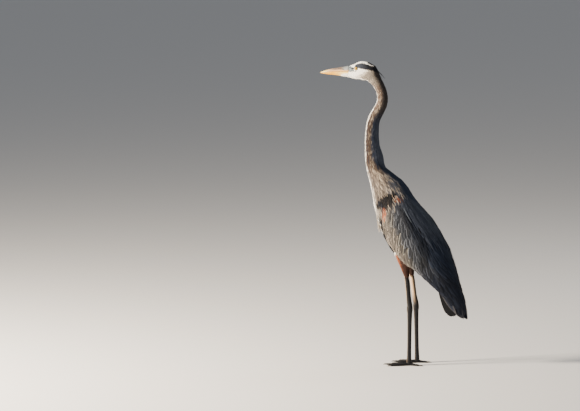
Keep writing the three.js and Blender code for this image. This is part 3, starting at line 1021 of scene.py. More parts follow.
def feather_sizes(place, share, part):
    """Spacing, length and width in mm for a feather at each point."""
    height, down = place[:, 2], wing_depth(place)
    kind = PART_KIND[part]
    kind = np.where((kind == "trunk") & (height > NECK_FOOT_Z), "neck", kind)
    back_of_bill = ramp(place[:, 0], BILL_ROOT_X, HIND_HEAD_X)
    over_back = ramp(share, 0.42, 0.25)
    sizes = {
        "head": (1.30 + 0.60 * back_of_bill, 3.6 + 6.0 * back_of_bill, 1.5 + 0.8 * back_of_bill),
        "neck": [curve_through(height, *knots) for knots in (NECK_SPACING, NECK_LENGTH, NECK_WIDTH)],
        "trunk": (6.5, 26.0, 7.5),
        "thigh": (2.3, 12.0, 2.8),
        "wing": (
            curve_through(down, *WING_SPACING) - 2.0 * over_back,
            curve_through(down, *WING_LENGTH) + 8 * over_back,
            curve_through(down, *WING_WIDTH) - 5.5 * over_back,
        ),
    }
    result = np.zeros((3, len(place)))
    for name, values in sizes.items():
        for row, value in zip(result, values):
            row[:] = np.where(kind == name, value, row)
    past_coverts = height + 0.55 * (place[:, 0] - 150) < COVERT_END_Z
    bare = (bare_face(place) > 0.5) & (kind == "head")
    result[0, ((kind == "wing") & past_coverts) | bare] = NEVER
    return result


print("sizes on the crown:", feather_sizes(CROWN_SPOT, np.zeros(1), np.zeros(1, int))[:, 0].round(2))

# %% [markdown]
# ### Scatter the roots
# The number of places drawn on each face follows its area and the spacing wanted there. On the wing the
# distances are squeezed along its length, so the rows of coverts stand close sideways and far apart
# lengthwise.

# %% Scatter the roots
def draw_places(mesh, spacing_at, stretch, tries=5):
    """Random places on a mesh, a few times as many as there is room for. Gives the places, their faces'
    corners and the corners' shares, for looking up a UV."""
    mesh.calc_loop_triangles()
    corners, loops = (read_all(mesh.loop_triangles, name, 3, np.int32) for name in ("vertices", "loops"))
    points = mesh_arrays(mesh)[0]
    a, b, c = (points[corners[:, k]] for k in range(3))
    area = np.linalg.norm(np.cross(b - a, c - a), axis=1) / 2
    room = 0.87 * stretch * (spacing_at((a + b + c) / 3) * MM) ** 2
    face = np.repeat(np.arange(len(area)), random.poisson(tries * area / room))
    face = face[random.permutation(len(face))]
    u, v = random.random((2, len(face)))
    u, v = np.where(u + v > 1, 1 - u, u), np.where(u + v > 1, 1 - v, v)
    weights = np.stack([1 - u - v, u, v], 1)
    return (points[corners[face]] * weights[:, :, None]).sum(1), loops[face], weights


def point_finder(points):
    """A search tree for the nearest of these points."""
    finder = KDTree(len(points))
    for index, point in enumerate(points):
        finder.insert(point, index)
    finder.balance()
    return finder


def keep_apart(places, spacing):
    """The numbers of the places that are left when none lies too near to one kept before it."""
    finder = point_finder(places)
    is_free = spacing < NEVER * MM
    kept = []
    for index, place in enumerate(places):
        if is_free[index]:
            kept.append(index)
            for _, other, _ in finder.find_range(place, spacing[index]):
                is_free[other] = False
    return np.array(kept)


def scatter(mesh, spacing_at, stretch=1.0):
    """Random places on a mesh, each as far from the rest as spacing_at says, and stretch times as far along
    the wing, with the same extras as draw_places gives."""
    places, loops, weights = draw_places(mesh, spacing_at, stretch)
    squeezed = places - np.outer(places @ ALONG_WING, ALONG_WING) * (1 - 1 / stretch)
    kept = keep_apart(squeezed, spacing_at(places) * MM)
    return places[kept], loops[kept], weights[kept]


def sizes_at(points):
    return feather_sizes(in_mm(points), place_on_line(points)[1], parts_at(points))


def spacing_on(wanted_wing):
    """A spacing function for the wings alone, or for all but the wings."""
    is_wing = np.array([name in WING_NODES for name in PART_NAMES])

    def spacing_at(points):
        return np.where(is_wing[parts_at(points)] == wanted_wing, sizes_at(points)[0], NEVER)

    return spacing_at


COVERT_STRETCH = 2.4
ALONG_WING = np.array([0.45, 0.0, -0.89])
ALONG_WING /= np.linalg.norm(ALONG_WING)
batches = [
    scatter(body_mesh, spacing_on(False)),
    scatter(body_mesh, spacing_on(True), stretch=COVERT_STRETCH),
]
roots, root_loops, root_weights = (np.concatenate(parts) for parts in zip(*batches))
print(len(roots), "feathers have roots, of which", len(batches[1][0]), "on the wings")

# %% [markdown]
# ## Which way feathers lie
# Feathers lie tailwards along the body. On the front half of the folded wing they droop towards its lower
# edge, as the wing coverts hang across the wing. On the thighs they point down the leg.

# %% The lie of the feathers
WING_DROOP = math.radians(34)
EDGE_MARGIN = 3.0
DOWN_THE_LEG = (0.05, 0, -1)


def unit(vectors):
    """The vectors made 1 long."""
    return vectors / np.maximum(np.linalg.norm(vectors, axis=-1), 1e-9)[..., None]


def along_skin(directions, normals):
    """The directions turned flat onto a skin with these normals, and made 1 long."""
    return unit(directions - normals * (directions * normals).sum(-1)[..., None])


def lie_of(points, normals, part):
    """The unit direction in which a feather at each point lies along the skin."""
    _, share, tangent = place_on_line(points)
    place = in_mm(points)
    kind = PART_KIND[part]
    down = wing_depth(place)
    droop = WING_DROOP * ramp(across_wing(place), 0.75, 0.35) * (1 - 0.6 * ramp(down, 0.55, 0.9))
    droop = np.where(kind == "wing", droop * ramp(down, 0.03, 0.15), 0)
    towards_belly = np.stack([tangent[:, 2], np.zeros(len(tangent)), -tangent[:, 0]], 1)
    lie = tangent * np.cos(droop)[:, None] + towards_belly * np.sin(droop)[:, None]
    lie[kind == "thigh"] = DOWN_THE_LEG
    return along_skin(lie, normals)


def past_wing_edge(starts, headings, lengths):
    """Which feathers have tips that stick out in front of the wing."""
    tips = in_mm(starts + headings * lengths[:, None])
    return tips[:, 0] < np.interp(tips[:, 2], EDGE_HEIGHTS, front_edges) + EDGE_MARGIN


def keep_on_wing(starts, headings, lengths):
    """Turns wing feathers that would stick out in front of the wing along its edge, and shortens the rest."""
    along_edge = place_on_line(starts)[2]
    for turn in (0.35, 0.6, 1.0, 1.0):
        out = past_wing_edge(starts, headings, lengths)
        headings[out] = between(headings[out], along_edge[out], turn)
        headings = unit(headings)
    for _ in range(4):
        lengths[past_wing_edge(starts, headings, lengths)] *= 0.75
    return headings, lengths


def normals_at(tree, points):
    return np.array([tree.find_nearest(Vector(p))[1] for p in points])


root_normals = normals_at(skin_tree, roots)
root_part = parts_at(roots)
root_lie = lie_of(roots, root_normals, root_part)
print("the mean lie of all feathers is", root_lie.mean(0).round(2))

# %% [markdown]
# ## One feather, many times
# A feather here is a thin closed vane: a ridge along its middle for the shaft, and two sides that slope away
# from it to sharp margins. It is laid as a walk over the skin. Each step goes on along the surface, and the
# height above the skin grows with the distance from the root, so that feathers shingle over the ones behind.
# All vanes of one tract have the same count of points, so their mesh is filled from arrays in one go.

# %% Walk the feathers over the skin
CLING = 0.9


def walk(tree, starts, directions, lengths, stations):
    """Paths over a surface: places and surface normals at stations, which are shares of the length."""
    places = np.empty((len(starts), len(stations), 3))
    normals = np.empty_like(places)
    here, heading, gone = starts.copy(), directions.copy(), 0.0
    for step, station in enumerate(stations):
        ahead = here + heading * (lengths * (station - gone))[:, None]
        hits = [tree.find_nearest(Vector(p))[:2] for p in ahead]
        surface = np.array([hit[0] for hit in hits])
        normal = np.array([hit[1] for hit in hits])
        here = between(ahead, surface, CLING)
        places[:, step], normals[:, step] = here, normal
        heading = along_skin(heading, normal)
        gone = station
    for _ in range(2):
        normals[:, 1:-1] = (normals[:, :-2] + 2 * normals[:, 1:-1] + normals[:, 2:]) / 4
        normals = unit(normals)
    return places, normals


print("a walked feather keeps", CLING, "of each step's way back to the skin")

# %% [markdown]
# ### The outline of a vane
# Each profile lists how wide a vane is at shares of its length. A vane is a row of four-sided rings with a
# point at either end, so its faces are the same for all the feathers of a kind.

# %% Outline the vanes
PROFILES = {
    "scale": [(0, 0), (0.16, 0.7), (0.40, 1.0), (0.68, 0.95), (0.88, 0.6), (1, 0)],
    "hair": [(0, 0), (0.15, 0.7), (0.42, 1.0), (0.75, 0.62), (1, 0)],
    "covert": [(0, 0), (0.10, 0.5), (0.28, 0.88), (0.52, 1.0), (0.74, 0.90), (0.90, 0.58), (1, 0)],
    "plume": [(0, 0), (0.08, 0.6), (0.22, 0.9), (0.45, 1.0), (0.66, 0.86), (0.85, 0.5), (1, 0)],
    "quill": [
        (0, 0), (0.05, 0.4), (0.16, 0.7), (0.32, 0.9), (0.50, 1.0),
        (0.70, 1.0), (0.86, 0.82), (0.95, 0.5), (1, 0),
    ],
}
STATIONS = {name: np.array([station for station, _ in shape]) for name, shape in PROFILES.items()}
THICKNESS = 0.28
BAKE_PATCH = 0.003
# whether each point of a ring is on a margin, and how far across the vane it is
RING_ON_MARGIN = (True, False, True, False)
RING_ACROSS = (0.0, 0.5, 1.0, 0.5)


def vane_polygons(rings):
    """The faces of one vane: a root point, rings of left margin, ridge, right margin and keel, and a tip."""
    ring = [[1 + 4 * k + j for j in range(4)] for k in range(rings)]
    tip = 1 + 4 * rings
    faces = [(0, ring[0][(j + 1) % 4], ring[0][j]) for j in range(4)]
    for low, high in zip(ring[:-1], ring[1:]):
        faces += [(low[j], low[(j + 1) % 4], high[(j + 1) % 4], high[j]) for j in range(4)]
    return faces + [(ring[-1][j], ring[-1][(j + 1) % 4], tip) for j in range(4)]


print({name: len(vane_polygons(len(shape) - 2)) for name, shape in PROFILES.items()}, "faces to a vane")

# %% [markdown]
# ### Filling a mesh
# All vanes of a tract go into one mesh straight from arrays. The margins are marked as sharp edges, each vane
# gets a patch of the skin's unwrap round its root, and a map of its own for the barbs.

# %% Fill a mesh with vanes
def vane_points(places, normals, widths, shape, lift, camber, roll):
    """The points of each vane: its root, its rings and its tip."""
    half = np.array([w for _, w in shape])[None, :, None] * widths[:, None, None] * MM / 2
    centre = places + normals * lift[:, :, None]
    forward = unit(np.gradient(centre, axis=1))
    sideways = unit(np.cross(forward, normals))
    if roll is not None:
        sideways = sideways * np.cos(roll)[:, None, None] + normals * np.sin(roll)[:, None, None]
    up = np.cross(sideways, forward)
    ridge = up * (half * camber + THICKNESS * MM / 2)
    keel = up * (half * camber - THICKNESS * MM / 2)
    droop = -up * half * camber
    left, right = centre - sideways * half + droop, centre + sideways * half + droop
    rings = np.stack([left, centre + ridge, right, centre + keel], 2)
    inner = rings[:, 1:-1].reshape(len(places), -1, 3)
    return np.concatenate([centre[:, :1], inner, centre[:, -1:]], 1)


def repeated_mesh(name, copies, faces):
    """A mesh of many copies of one shape: copies holds their points, faces belong to the first."""
    count, per_copy = copies.shape[:2]
    corners = np.concatenate([np.array(face) for face in faces])
    sizes = np.tile([len(face) for face in faces], count)
    all_corners = (corners[None] + np.arange(count)[:, None] * per_copy).ravel()
    mesh = bpy.data.meshes.new(name)
    mesh.vertices.add(count * per_copy)
    mesh.vertices.foreach_set("co", copies.astype(np.float32).ravel())
    mesh.loops.add(len(all_corners))
    mesh.loops.foreach_set("vertex_index", all_corners.astype(np.int32))
    mesh.polygons.add(len(sizes))
    mesh.polygons.foreach_set("loop_start", (np.cumsum(sizes) - sizes).astype(np.int32))
    mesh.update(calc_edges=True)
    return mesh


def add_uv(mesh, name, uv):
    mesh.uv_layers.new(name=name).data.foreach_set("uv", uv.astype(np.float32).ravel())


def vane_mesh(name, places, normals, widths, profile, tint, trim, root_uv, lift, camber=0.12, roll=None):
    """A mesh of vanes. places and normals are paths over the skin, and lift is the height of each station
    above it. tint and trim are the colours of each vane and of its margins, with the margin's strength in
    trim's alpha. roll tips each vane about its shaft."""
    copies = vane_points(places, normals, widths, PROFILES[profile], lift, camber, roll)
    count, per_vane = copies.shape[:2]
    inner = STATIONS[profile][1:-1]
    faces = vane_polygons(len(inner))
    mesh = repeated_mesh(name, copies, faces)
    on_margin = np.array([True, *RING_ON_MARGIN * len(inner), True])
    sharp = on_margin[edge_ends(mesh) % per_vane].all(1)
    mesh.attributes.new("sharp_edge", "BOOLEAN", "EDGE").data.foreach_set("value", sharp)
    across_vane = [0.5, *RING_ACROSS * len(inner), 0.5]
    along_vane = [0.0, *np.repeat(inner, 4), 1.0]
    corners = np.concatenate([np.array(face) for face in faces])
    vane_uv = np.column_stack([across_vane, along_vane])[corners]
    add_uv(mesh, "OFBake", root_uv[:, None, :] + (vane_uv[None] - 0.5) * BAKE_PATCH)
    add_uv(mesh, "vane", np.tile(vane_uv, (count, 1)))
    paint_points(mesh, "tint", np.repeat(tint, per_vane, 0))
    paint_points(mesh, "trim", np.repeat(trim[:, :3], per_vane, 0), np.repeat(trim[:, 3], per_vane))
    set_smooth(mesh)
    return mesh


skin_uv = read_all(skin_mesh.uv_layers["OFBake"].data, "uv", 2)
root_uv = (skin_uv[root_loops] * root_weights[:, :, None]).sum(1)
print("the roots' places on the unwrap run from", root_uv.min(0).round(3), "to", root_uv.max(0).round(3))

# %% [markdown]
# ## The coat
# The roots are dealt out to tracts, each one object. Every feather takes its colour from the skin under its
# middle, a touch lighter or darker than its neighbour. In the shaggy parts of the neck some are much paler or
# darker than that, which gives the streaks.

# %% Streaks and margins
YAW = {"head": 0.10, "neck": 0.09, "trunk": 0.12, "wing": 0.06, "thigh": 0.12}
SLOPE = {"head": 0.08, "neck": 0.075, "trunk": 0.09, "wing": 0.08, "thigh": 0.10}
SEEN_PART = 0.84
ROLL = math.radians(7)
BASE_HEIGHT = 0.25
ROOT_DEPTH = 0.6


def turn_about(vectors, axes, angles):
    """Each vector turned about its own axis."""
    cos, sin = np.cos(angles)[:, None], np.sin(angles)[:, None]
    return vectors * cos + np.cross(axes, vectors) * sin + axes * (vectors * axes).sum(1)[:, None] * (1 - cos)


def streaked(colour, place, share, kind):
    """Colours of single feathers, with the odd pale or dark one where the plumage is streaky."""
    chance = random.random(len(colour))
    shade = random.normal(0, 1, len(colour))
    spread = {"neck": 0.15, "wing": 0.20}.get(kind, 0.07)
    colour = colour * np.clip(1 + spread * shade, 0.5, 1.6)[:, None]
    if kind != "neck":
        return np.clip(colour, 0.004, 0.95)
    height = place[:, 2]
    side = ramp(share, 0.36, 0.46) + ramp(height, 780, 720) * ramp(share, 0.16, 0.26)
    side = np.minimum(side, 1) * ramp(share, 0.76, 0.68)
    pale = (chance < 0.22) * side * ramp(colour[:, 1], 0.012, 0.035)
    colour = mix(colour, CREAM * 0.85, pale * 0.55)
    dark = (chance > 0.80) * side
    colour = mix(colour, BROWN_GREY * 0.8, dark * (0.35 + 0.4 * ramp(height, 860, 720)))
    fleck = ramp(share, 0.69, 0.72) * ramp(share, 0.80, 0.77) * ramp(height, 1010, 985) * (chance > 0.62)
    return np.clip(mix(colour, NIGHT, fleck * 0.85), 0.004, 0.95)


def trim_of(place, share, kind, colour):
    """The colour of the margins, a pale copy of the feather's own, and their strength."""
    strength = np.zeros(len(place))
    if kind == "wing":
        down, back = wing_depth(place), across_wing(place)
        strength = 0.9 * ramp(back, 0.66, 0.20) * ramp(down, 0.02, 0.15)
        strength *= 1 - 0.8 * ramp(down, 0.55, 0.75)
        bold = random.random(len(place)) < 0.4
        strength = strength * np.where(bold, 1.0, random.uniform(0.05, 0.3, len(place))) + 0.08
        return np.column_stack([np.minimum(colour * 5 + 0.006, PEARL), strength])
    if kind == "neck":
        strength = 0.3 * random.random(len(place)) * ramp(share, 0.35, 0.5)
    return np.column_stack([np.minimum(colour * 2.2, WHITE), strength])


print("roots lie", ROOT_DEPTH - BASE_HEIGHT, "mm under the skin at most")

# %% [markdown]
# ### Growing one tract
# A feather is walked over the skin from its root. Its base is sunk a little, and its slope, heading and
# length vary about the mean, as they do on a live bird.

# %% Grow one tract
coat = []


def add_to_coat(name, mesh, kind):
    """Adds a finished mesh of feathers as an object. kind chooses its material later on."""
    item = add_object(name, mesh)
    item["kind"] = kind
    coat.append(item)
    print(name, "has", len(mesh.polygons), "faces")
    return item


def point_along(paths, stations, share):
    """The point of each path that lies this share of the way along it."""
    after = np.searchsorted(stations, share)
    part_way = (share - stations[after - 1]) / (stations[after] - stations[after - 1])
    return between(paths[:, after - 1], paths[:, after], part_way)


def grow(name, chosen, profile, kind, length_spread=0.12):
    """Grows the feathers whose roots are chosen into one object."""
    index = np.flatnonzero(chosen)
    start, normal = roots[index], root_normals[index]
    _, length, width = feather_sizes(in_mm(start), place_on_line(start)[1], root_part[index])
    length = length * (1 + random.normal(0, length_spread, len(index))) * MM
    width = width * (1 + random.normal(0, 0.08, len(index)))
    heading = turn_about(root_lie[index], normal, random.normal(0, YAW[kind], len(index)))
    if kind == "wing":
        heading, length = keep_on_wing(start, heading, length)
    stations = STATIONS[profile]
    places, normals = walk(skin_tree, start, heading, length, stations)
    seen = point_along(places, stations, SEEN_PART)
    seen_place, seen_share = in_mm(seen), place_on_line(seen)[1]
    colour = plumage_colours(seen, stray=True)
    tint = streaked(colour, seen_place, seen_share, kind)
    trim = trim_of(seen_place, seen_share, kind, colour)
    stagger = random.uniform(0, 0.25, len(index))
    slope = SLOPE[kind] * random.uniform(0.8, 1.25, len(index))
    lift = BASE_HEIGHT * MM + stagger[:, None] * MM + slope[:, None] * stations[None] * length[:, None]
    lift[:, 0] -= ROOT_DEPTH * MM
    roll = np.sign(-start[:, 1]) * ROLL if kind == "wing" else None
    mesh = vane_mesh(name, places, normals, width, profile, tint, trim, root_uv[index], lift, roll=roll)
    add_to_coat(name, mesh, kind)


print("feathers stray by", YAW, "radians from their lie")

# %% [markdown]
# The head takes scales, neck and thighs take hair, and trunk and wings take coverts.

# %% Grow every tract
root_kind = PART_KIND[root_part]
root_place = in_mm(roots)
NECK_MIDDLE_Z = 850
grow("coat_head", root_kind == "head", "scale", "head")
on_neck = (root_kind == "neck") | ((root_kind == "trunk") & (root_place[:, 2] > NECK_FOOT_Z))
grow("coat_neck_upper", on_neck & (root_place[:, 2] > NECK_MIDDLE_Z), "hair", "neck")
grow("coat_neck_lower", on_neck & (root_place[:, 2] <= NECK_MIDDLE_Z), "hair", "neck", 0.2)
grow("coat_belly", (root_kind == "trunk") & ~on_neck, "covert", "trunk")
grow("coat_wing_left", (root_kind == "wing") & (root_place[:, 1] < 0), "covert", "wing")
grow("coat_wing_right", (root_kind == "wing") & (root_place[:, 1] >= 0), "covert", "wing")
grow("coat_thighs", root_kind == "thigh", "hair", "thigh")

# %% [markdown]
# ## Long feathers laid one by one
# Flight feathers and plumes are few and long, and each has its own place, so they aren't scattered. Each runs
# on a smooth arc through three points. For a feather of the folded wing these are given in the side view, and
# a ray cast on the wing's CAD node tells how far out it lies. Inner feathers lie over outer ones, as the last
# of them, the tertials, cover the whole closed fan.

# %% Tools for laying long feathers
def arc_through(root, middle, tip, stations):
    """Points on the parabola that starts at root, leans towards middle and ends at tip."""
    t = np.asarray(stations)[:, None]
    return (1 - t) ** 2 * np.array(root) + 2 * t * (1 - t) * np.array(middle) + t**2 * np.array(tip)


vertex_uv = np.zeros((len(skin_mesh.vertices), 2))
vertex_uv[read_all(skin_mesh.loops, "vertex_index", 1, np.int32)[:, 0]] = skin_uv
skin_finder = point_finder(body_points)


def uv_at(points):
    """The skin's unwrap at the skin point nearest to each place."""
    return vertex_uv[[skin_finder.find(Vector(p))[1] for p in points]]


def lay_feathers(name, rows, profile, kind, camber=0.1):
    """Builds one object of long feathers. Each row gives a feather's path, its normals, its width in mm, its
    tint, and its trim with the margin's strength."""
    paths, normals, widths, tints, trims = (np.array(column, float) for column in zip(*rows))
    no_lift = np.zeros(paths.shape[:2])
    places_uv = uv_at(paths[:, 0])
    mesh = vane_mesh(name, paths, normals, widths, profile, tints, trims, places_uv, no_lift, camber)
    return add_to_coat(name, mesh, kind)


def back_edge(side, z):
    """How far back the folded wing reaches at a height, in mm behind the plumb line."""
    hit = wing_tree[side].ray_cast(spot(400, SIDES[side] * 4, max(z, 192)), -BACK)[0]
    return (hit.x - plumb_x) / MM


def wing_path(side, root, middle, tip, depths, stations, inset):
    """A path along the folded wing's CAD surface, sunk under it by depths from root to tip, in mm. It stays
    inset mm in from the edge of the back."""
    sign = SIDES[side]
    places, normals = [], []
    sunk = np.interp(stations, (0, 0.5, 1), depths)
    for (x, z), depth in zip(arc_through(root, middle, tip, stations), sunk):
        inwards = Vector((0, -sign, 0))
        x = min(x, back_edge(side, z) - inset)
        hit, normal = wing_tree[side].ray_cast(spot(x, sign * 200, z), inwards)[:2]
        if hit is None or normal.y * sign < 0.12:
            hit, normal = wing_tree[side].find_nearest(spot(x, sign * 30, z))[:2]
            hit = Vector((plumb_x + x * MM, hit.y, z * MM))
        places.append(hit - normal * depth * MM)
        normals.append(normal)
    normals = np.array(normals)
    even_out(normals, 4)
    return np.array(places), unit(normals)


print("a long vane has", len(vane_polygons(len(PROFILES["quill"]) - 2)), "faces")

# %% [markdown]
# ### Tertials and secondaries
# These cover the closed fan and end in the points above the tail. Nine to a side are laid from the front
# margin to the back, each over the one before.

# %% The tertials and secondaries
TERTIALS = [
    # root, middle and tip seen from the side, and width, from the front margin to the back
    ((90, 372), (132, 285), (181, 199), 24),
    ((97, 384), (142, 290), (191, 192), 25),
    ((104, 396), (152, 298), (200, 187), 26),
    ((111, 408), (162, 306), (208, 183), 27),
    ((117, 420), (170, 316), (211, 193), 26),
    ((122, 434), (176, 330), (216, 198), 24),
    ((126, 450), (182, 346), (217, 214), 22),
    ((128, 468), (186, 364), (213, 236), 20),
    ((130, 488), (186, 386), (206, 262), 18),
]
# The first tertial that gets painted shade.
FIRST_SHADED = 4
rows = []
for side in SIDES:
    for order, (root, middle, tip, width) in enumerate(TERTIALS):
        over = order / (len(TERTIALS) - 1)
        depths = (6.0, 4.0 - 2.0 * over, 3.0 - 1.6 * over)
        places, normals = wing_path(side, root, middle, tip, depths, STATIONS["quill"], width * 0.3)
        # Painted shade: the back tertials lie on the shaded side of the bird and are painted near black, the
        # front ones deep slate.
        tint = (NIGHT * 0.7 if order >= FIRST_SHADED else DEEP_SLATE * 0.6) * random.uniform(0.85, 1.1)
        trim = [*PEARL * 0.7, 0.2 if order == 0 else random.uniform(0.05, 0.15)]
        rows.append((places, normals, width, tint, trim))
lay_feathers("tertials", rows, "quill", "wing")

# %% [markdown]
# ### Primaries
# Only the tips of the primaries show below the tertials, as a dark bundle between wing and tail.

# %% The primaries
PRIMARY_ROOTS = np.array([[110.0, 306.0], [128.0, 300.0]])
PRIMARY_TIPS = np.array([[143, 205], [150, 198], [156, 195], [162, 194], [169, 195], [176, 197]])
PRIMARY_BEND = np.array([2.0, -4.0])
PRIMARY_WIDTH = 18
rows = []
for side, sign in SIDES.items():
    for order, tip in enumerate(PRIMARY_TIPS):
        over = order / (len(PRIMARY_TIPS) - 1)
        root = between(*PRIMARY_ROOTS, over)
        flat = arc_through(root, (root + tip) / 2 + PRIMARY_BEND, tip, STATIONS["quill"])
        out = sign * np.interp(STATIONS["quill"], (0, 1), (20 + 4 * over, 14 + 4 * over))
        path = [spot(x, y, z) for (x, z), y in zip(flat, out)]
        normals = np.tile([0.0, sign, 0.0], (len(flat), 1)) + [0.15, 0, 0.05]
        rows.append((path, normals, PRIMARY_WIDTH, INK * random.uniform(0.5, 0.8), [*SLATE, 0.05]))
lay_feathers("primaries", rows, "quill", "wing")

# %% [markdown]
# ### Tail
# The tail is short and nearly closed. Its twelve feathers lie side by side, the outer ones a little shorter.

# %% The tail
TAIL_ROOT, TAIL_BEND, TAIL_TIP = (128, 312), (158, 262), (199, 186)
TAIL_FEATHERS = 12
TAIL_WIDTH = 15
TAIL_HALF_SPREAD = 15.0
rows = []
for order in range(TAIL_FEATHERS):
    place = 2 * order / (TAIL_FEATHERS - 1) - 1
    shorten = 8 * place**2
    end = (TAIL_TIP[0] - shorten * 0.5, TAIL_TIP[1] + shorten)
    flat = arc_through(TAIL_ROOT, TAIL_BEND, end, STATIONS["quill"])
    out = place * np.interp(STATIONS["quill"], (0, 1), (7, TAIL_HALF_SPREAD))
    droop = np.abs(place) * 2.5
    path = [spot(x - droop * 0.8, y, z - droop * 0.5) for (x, z), y in zip(flat, out)]
    normals = np.tile([0.86, 0.3 * place, 0.5], (len(flat), 1))
    rows.append((path, normals, TAIL_WIDTH, DEEP_SLATE * random.uniform(0.45, 0.6), [*SLATE, 0.1]))
lay_feathers("tail_feathers", rows, "quill", "wing")

# %% [markdown]
# ## Plumes
# Grown herons wear plumes: two thin black ones from the back of the head, a spray of narrow ones over the
# back and a beard of pale ones on the breast. Those of the back are walked over the skin like the coat, only
# longer and narrower. Crest and beard hang free.

# %% The plumes of the back
root_share = place_on_line(roots)[1]


def lay_plumes(name, chosen, length, width, lift, tint_of, trim_strength, straight=False):
    """Walks narrow plumes over the coat. length, width and trim_strength are pairs to draw between, lift is
    the height over the skin at root, bend and tip. Straight plumes keep to the bird's own line."""
    index = np.flatnonzero(chosen)
    lengths = random.uniform(*length, len(index)) * MM
    heading = turn_about(root_lie[index], root_normals[index], random.normal(0, 0.05, len(index)))
    if straight:
        heading = along_skin(place_on_line(roots[index])[2], root_normals[index])
    places, normals = walk(skin_tree, roots[index], heading, lengths, STATIONS["plume"])
    raised = np.interp(STATIONS["plume"], (0, 0.3, 1), lift)
    places = places + normals * raised[None, :, None] * MM
    tint = tint_of(places[:, 3]) * random.uniform(0.8, 1.5, len(index))[:, None]
    trim = np.column_stack([np.minimum(tint * 4, PEARL), random.uniform(*trim_strength, len(index))])
    widths = random.uniform(*width, len(index))
    lay_feathers(name, list(zip(places, normals, widths, tint, trim)), "plume", "neck", 0.15)


def all_cream(points):
    return np.tile(CREAM * 0.6, (len(points), 1))


on_back = (root_kind == "wing") & (root_share > 0.06) & (root_share < 0.46)
on_back &= (root_place[:, 2] > 500) & (root_place[:, 2] < 655) & (random.random(len(roots)) < 0.30)
lay_plumes("scapular_plumes", on_back, (95, 165), (5, 7), (0, 3.6, 4.6), plumage_colours, (0.1, 0.4), True)

near_shoulder = (root_kind == "wing") & (np.hypot(root_place[:, 0] + 60, root_place[:, 2] - 640) < 4.0)
lay_plumes("shoulder_plumes", near_shoulder, (36, 50), (2.4, 3.2), (0, 3.2, 4.2), all_cream, (0.2, 0.5))

# %% [markdown]
# ### Crest
# The two head plumes spring from the end of the black band and lie back over the nape.

# %% The crest
CREST = [
    # root, middle and tip seen from the side, and width
    ((-163, 1165), (-136, 1153), (-107, 1118), 3.6),
    ((-166, 1160), (-140, 1146), (-118, 1118), 3.0),
]
rows = []
for sign in SIDES.values():
    out = sign * np.interp(STATIONS["plume"], (0, 1), (8, 4.5))
    normals = np.tile([0.55, 0.5 * sign, 0.65], (len(out), 1))
    for root, middle, tip, width in CREST:
        flat = arc_through(root, middle, tip, STATIONS["plume"])
        path = [spot(x, y, z) for (x, z), y in zip(flat, out)]
        rows.append((path, normals, width, INK, [*SLATE, 0.1]))
lay_feathers("crest_plumes", rows, "plume", "neck")

# %% [markdown]
# ### Beard
# The breast plumes hang free from the foot of the neck. Their roots are found by casting rays at the breast
# from in front.

# %% The beard of the breast
BEARD_COUNT = 90
BEARD_FOOT_Z = 516
rows = []
for _ in range(BEARD_COUNT):
    z_root, out = random.uniform(560, 662), random.uniform(-22, 22)
    root = np.array(skin_tree.ray_cast(spot(-400, out, z_root), BACK)[0])
    length = min(random.uniform(40, 90), z_root - BEARD_FOOT_Z)
    hang = np.array([random.uniform(-3, 2), -out * 0.35, -length])
    tip = root + hang * MM
    tip[0] = max(plumb_x + random.uniform(-132, -112) * MM, tip[0] - 6 * MM)
    bend = (root + tip) / 2 + np.array([-3.0, 0, 0]) * MM
    path = arc_through(root, bend, tip, STATIONS["plume"])
    normals = np.tile([-0.9, out / 40, 0.15], (len(path), 1))
    width = random.uniform(1.8, 2.8)
    is_dark = random.random() < 0.08
    lower = float(ramp(tip[2] / MM, 600, 540))
    tint = BROWN_GREY if is_dark else mix(WHITE, CREAM * 0.6, max(lower, random.uniform(0, 1)))
    rows.append((path, normals, width, tint, [*WHITE, 0.2]))
lay_feathers("breast_plumes_fine", rows, "plume", "neck", 0.2)

# %% [markdown]
# ## Materials of the plumage
# A vane is made of barbs, fine strands that leave the shaft at a slant. The material draws them from the
# vane's own UV map: u runs across and v from root to tip. They vary the colour a little and give the bump.
# The margins take the trim colour. The skin under the coat has the same tint with a soft mottle.

# %% The barbs group
GROUP_INPUTS, GROUP_OUTPUTS = ("Across", "Along", "Count"), ("Strand", "Margin", "Shaft")
BARB_SLANT = 0.16
barbs = bpy.data.node_groups.new("barbs", "ShaderNodeTree")
for in_out, socket_names in (("INPUT", GROUP_INPUTS), ("OUTPUT", GROUP_OUTPUTS)):
    for socket_name in socket_names:
        barbs.interface.new_socket(socket_name, in_out=in_out, socket_type="NodeSocketFloat")


def node(tree, kind, inputs=None, **settings):
    """A new node with these inputs and settings."""
    item = tree.nodes.new(kind)
    for key, value in settings.items():
        setattr(item, key, value)
    set_inputs(item, inputs or {})
    return item


def math_node(tree, operation, *inputs):
    """A Math node's result. Each input is a number or another node's output."""
    return node(tree, "ShaderNodeMath", dict(enumerate(inputs)), operation=operation).outputs[0]


def smooth_range(tree, value, low, high):
    """Maps low to 0 and high to 1 with a smooth slope."""
    inputs = {"Value": value, "From Min": low, "From Max": high}
    return node(tree, "ShaderNodeMapRange", inputs, interpolation_type="SMOOTHSTEP").outputs["Result"]


def noise(tree, place, scale, detail=2.0, **settings):
    """A noise pattern, as a value from 0 to 1."""
    inputs = {"Vector": place, "Scale": scale, "Detail": detail}
    return node(tree, "ShaderNodeTexNoise", inputs, **settings).outputs["Fac"]


